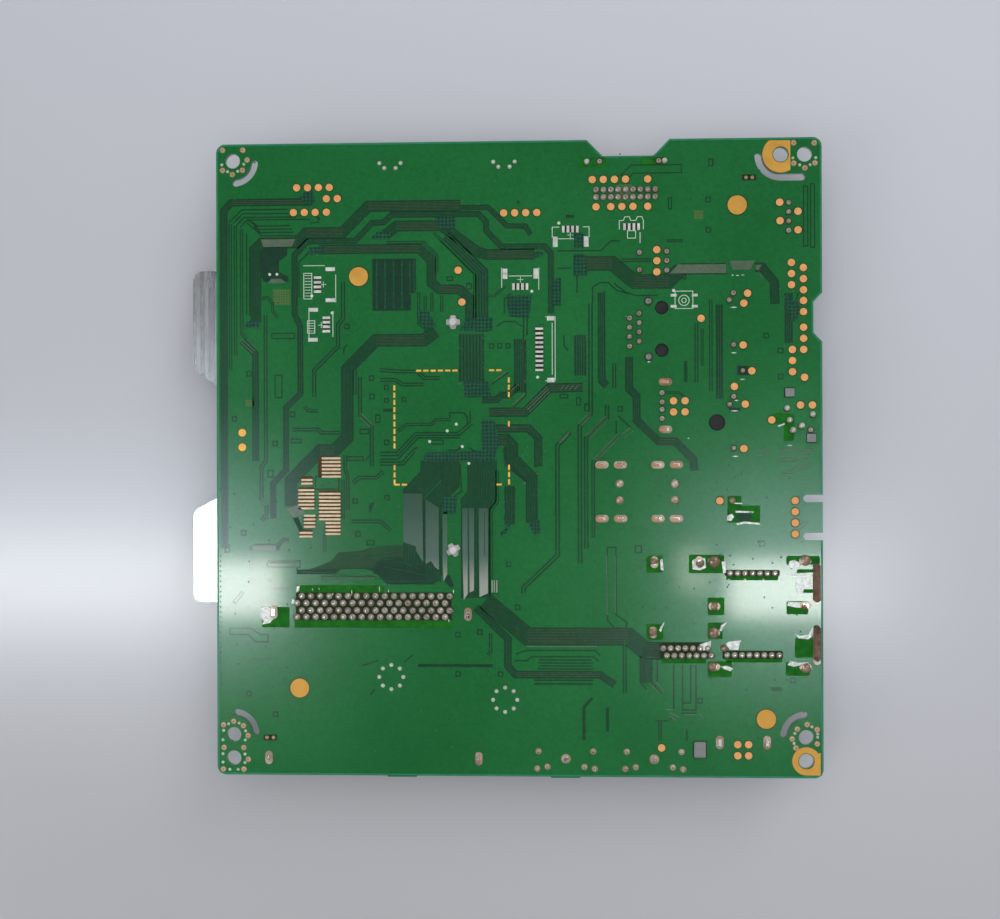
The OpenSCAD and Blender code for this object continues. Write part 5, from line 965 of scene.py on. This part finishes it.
# discs on top of two test pads and of the dots
topDiscs = {
    "goldPoints": dict(places=[(7.1, 93.8), (7.1, 89.8)], profile=[(0, 0.1), (1.08, 0.1), (1.02, 0.13), (0, 0.13)],
                       sides=28, finish="dash_copper", slot="gold_pads"),
    "dotCentres": dict(places=cornerDots + viaPairs, profile=[(0, 0.3), (0.4, 0.3), (0.34, 0.38), (0, 0.4)], sides=20,
                       finish="aged_copper", slot="copper_pads"),
}


def domeProfile(foot, high, turn, lift, knob=()):
    # from the pole below the foot up a round shoulder, and the knob on it
    rise = high * np.sin(turn)
    top = [(foot * share, rise[-1] + up) for share, up in knob]
    return np.vstack([[(0, lift)], np.column_stack([foot * np.cos(turn), rise + lift])] + ([top] if top else []))


def solderJoints(given):
    # rounded domes, in whose tops the tips of the leads stand as small knobs
    turn = np.linspace(0, given["roundness"], 8) * math.pi / 2
    domes, copper, shade = {"bright": [], "pale": []}, [], []
    for rows, foot, ring, rim, tone in jointKinds:
        places = np.vstack(rows)
        profile = domeProfile(foot, given["high"], turn, given["lift"], given["knob"])
        domes[tone].append(turned(places, profile, given["sides"]))
        for reach, kept in ((ring, copper), (rim, shade)):
            if reach:
                kept.append(rings(places, foot - given["under"], foot + reach, given["ring"]))
    piece = meshPiece("solderJoints", joined(domes["bright"]), finishOf["solder"], True)
    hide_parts("pin_solder")
    meshPiece("paleJoints", joined(domes["pale"]), finishOf["pale_solder"], True)
    copper.append(rings(cornerDots, *given["dotRing"], given["ring"]))
    meshPiece("copperRings", joined(copper), finishOf["aged_copper"])
    quarter = np.linspace(0, 1, 9) * math.pi / 2
    for name, finish, caps in (("legSolder", "flux_solder", brownCaps), ("whiteSolder", "via_tin", whiteCaps)):
        shapes = [turned([(x, y)], domeProfile(foot, given["cap"], quarter, given["lift"]), given["capSides"])
                  for x, y, foot in caps]
        meshPiece(name, joined(shapes), finishOf[finish], True)
    ridges = [field(outline, given["cap"]) for outline in oblongs(edgeRidges, given["ridgeCut"])]
    meshPiece("edgeSolder", joined(ridges), burntFinish)
    # painted shade: dark rings round the foot of the joints
    meshPiece("jointShade", joined(shade), umberFinish)


solderJoints(jointSizes)
for name, given in topDiscs.items():
    shape = turned(given["places"], given["profile"], given["sides"])
    meshPiece(name, shape, finishOf[given["finish"]])

# ---- Small vias: dimples of mask over the through-plated holes ----
viaSizes = dict(radius=0.24, height=0.06, sides=8, column=0.95, stitches=26, start=25, stitch=1.4, bundles=30, string=9,
                beside=0.8, count=520, reach=(158, 166), corner=(3.5, 3.5))
viaPlaces = np.random.default_rng(7)


def viaField(given):
    # seeded places: a column of stitching along the left edge, strings along the bundles and a loose scatter
    stitching = [(given["column"], given["start"] + given["stitch"] * k) for k in range(given["stitches"])]
    places = [stitching]
    count = given["string"]
    for width, lines, *path in trackBundles[:given["bundles"]]:
        points = pairs(path)
        share = viaPlaces.random((count, 1))
        leg = viaPlaces.integers(0, len(points) - 1, count)
        side = np.sign(viaPlaces.random(count) - 0.5) * (width / 2 + given["beside"]) * given["beside"]
        places.append(points[leg] * (1 - share) + points[leg + 1] * share + side[:, None])
    places.append(viaPlaces.random((given["count"], 2)) * given["reach"] + given["corner"])
    profile = np.array([(0, 0), (1, 0), (0.75, 0.8), (0, 1)]) * (given["radius"], given["height"])
    shape = turned(np.vstack(places), profile, given["sides"])
    meshPiece("viaField", shape, finishOf["mask_tracks"], True)


viaField(viaSizes)

# ---- Table, light and camera ----
tableLook = dict(side=1.6, lean=0.35, turn=(-0.14, 0.16), near=(0.435, 0.44, 0.462), far=(0.555, 0.57, 0.62),
                 roughness=0.22)


def tableTop(given):
    # a plain table with painted light: a little paler towards the upper right
    side = given["side"]
    corners = np.array([(-side, -side, 0), (side, -side, 0), (side, side, 0), (-side, side, 0)]) / 2
    material, tree, shader = newFinish("table")
    place = axes(tree)
    slope = maths(tree, "ADD", place["Y"], maths(tree, "MULTIPLY", place["X"], given["lean"]))
    feed(tree, shader, {"Base Color": mixed(tree, remap(tree, slope, *given["turn"]), given["near"], given["far"]),
                        "Roughness": given["roughness"]})
    mesh = bpy.data.meshes.new("tableTop")
    mesh.from_pydata(corners.tolist(), [], [(0, 1, 2, 3)])
    mesh.materials.append(material)
    piece = bpy.data.objects.new("tableTop", mesh)
    scene.collection.objects.link(piece)


tableTop(tableLook)


def areaLight(name, place, size, power, colour=(1.0, 1.0, 1.0), aim=(0, 0, 0)):
    data = bpy.data.lights.new(name, "AREA")
    data.shape = "RECTANGLE"
    data.size, data.size_y = size
    data.energy = power
    data.color = colour
    lamp = bpy.data.objects.new(name, data)
    lamp.location = place
    away = mathutils.Vector(place) - mathutils.Vector(aim)
    lamp.rotation_euler = away.to_track_quat("Z", "Y").to_euler()
    scene.collection.objects.link(lamp)
    return lamp


roomSides = dict(overhead=(0.06, 0.062, 0.068), walls=(0.34, 0.352, 0.372), turn=(0.72, 0.94))


def roomWorld(given):
    # dim straight overhead and paler towards the walls
    world = bpy.data.worlds.new("room")
    world.use_nodes = True
    tree = world.node_tree
    rise = remap(tree, axes(tree, output="Generated")["Z"], *given["turn"], smooth=True)
    feed(tree, tree.nodes["Background"], {"Color": mixed(tree, rise, given["walls"], given["overhead"])})
    scene.world = world


roomWorld(roomSides)
# place, width and height, power; the one overhead isn't seen in reflections
lamps = {
    "overhead": ((0.05, 0.1, 1.5), (1.5, 1.5), 15),
    "windowSide": ((0.9, 1.2, 1.2), (0.9, 0.9), 8.5),
    "roomSide": ((-1.2, -0.5, 1.2), (0.9, 0.9), 4),
}
for name, given in lamps.items():
    areaLight(name, *given).visible_glossy = name != "overhead"

# two windows whose mirror images lie across the lower third of the board, each in a wide soft glow, and a small pane;
# the ones in front hang a little lower
core = dict(height=0.434, y=(-0.0907, -0.0487), level=20.0, edge=0.55, colour=(1.0, 1.0, 0.96))
glow = dict(height=0.436, edge=1.0, colour=(0.62, 0.80, 1.0))
panels = {
    "leftCore": core | dict(x=(-0.46, -0.136)),
    "rightCore": core | dict(x=(0.097, 0.19)),
    "leftGlow": glow | dict(x=(-0.46, -0.095), y=(-0.149, 0.037), level=4.7),
    "rightGlow": glow | dict(x=(0.038, 0.24), y=(-0.157, 0.031), level=3.7),
    "smallPane": dict(height=0.432, x=(0.072, 0.096), y=(-0.075, -0.044), level=6.0, edge=0.6,
                      colour=(1.0, 0.98, 0.85)),
}


def softPanel(name, given):
    # an area light that fades towards its edges and is seen only in reflections
    (left, right), (low, high) = given["x"], given["y"]
    middle, size = ((left + right) / 2, (low + high) / 2), (right - left, high - low)
    power = math.pi * size[0] * size[1]
    panel = areaLight(name, (*middle, given["height"]), size, power, given["colour"], (*middle, 0))
    panel.visible_diffuse = panel.visible_camera = False
    panel.data.use_nodes = True
    tree = panel.data.node_tree
    place = axes(tree, "ShaderNodeNewGeometry", "Parametric")
    level = given["level"]
    for axis, length in zip("XY", size):
        away = maths(tree, "ABSOLUTE", maths(tree, "SUBTRACT", place[axis], 0.5))
        reach = given["edge"] * min(size) / length / 2
        level = maths(tree, "MULTIPLY", remap(tree, away, 0.5 - reach, 0.5, to=(1.0, 0.0), smooth=True), level)
    feed(tree, tree.nodes["Emission"], {"Strength": level})


for name, given in panels.items():
    softPanel(name, given)

cameraPlace = dict(location=(0.0192, -0.0009, 0.4352), forward=(-0.0476, 0.0019, -0.9989), up=(0.003, 1.0, 0.0017),
                   lens=55.0)


def placeCamera(given):
    data = bpy.data.cameras.new("camera")
    data.lens = given["lens"]
    data.sensor_width = 36.0
    data.clip_start = 0.01
    eye = bpy.data.objects.new("camera", data)
    back = -mathutils.Vector(given["forward"]).normalized()
    right = mathutils.Vector(given["up"]).cross(back).normalized()
    turn = mathutils.Matrix((right, back.cross(right), back)).transposed()
    eye.location = given["location"]
    eye.rotation_euler = turn.to_euler()
    scene.collection.objects.link(eye)
    scene.camera = eye


placeCamera(cameraPlace)
print("stage set")
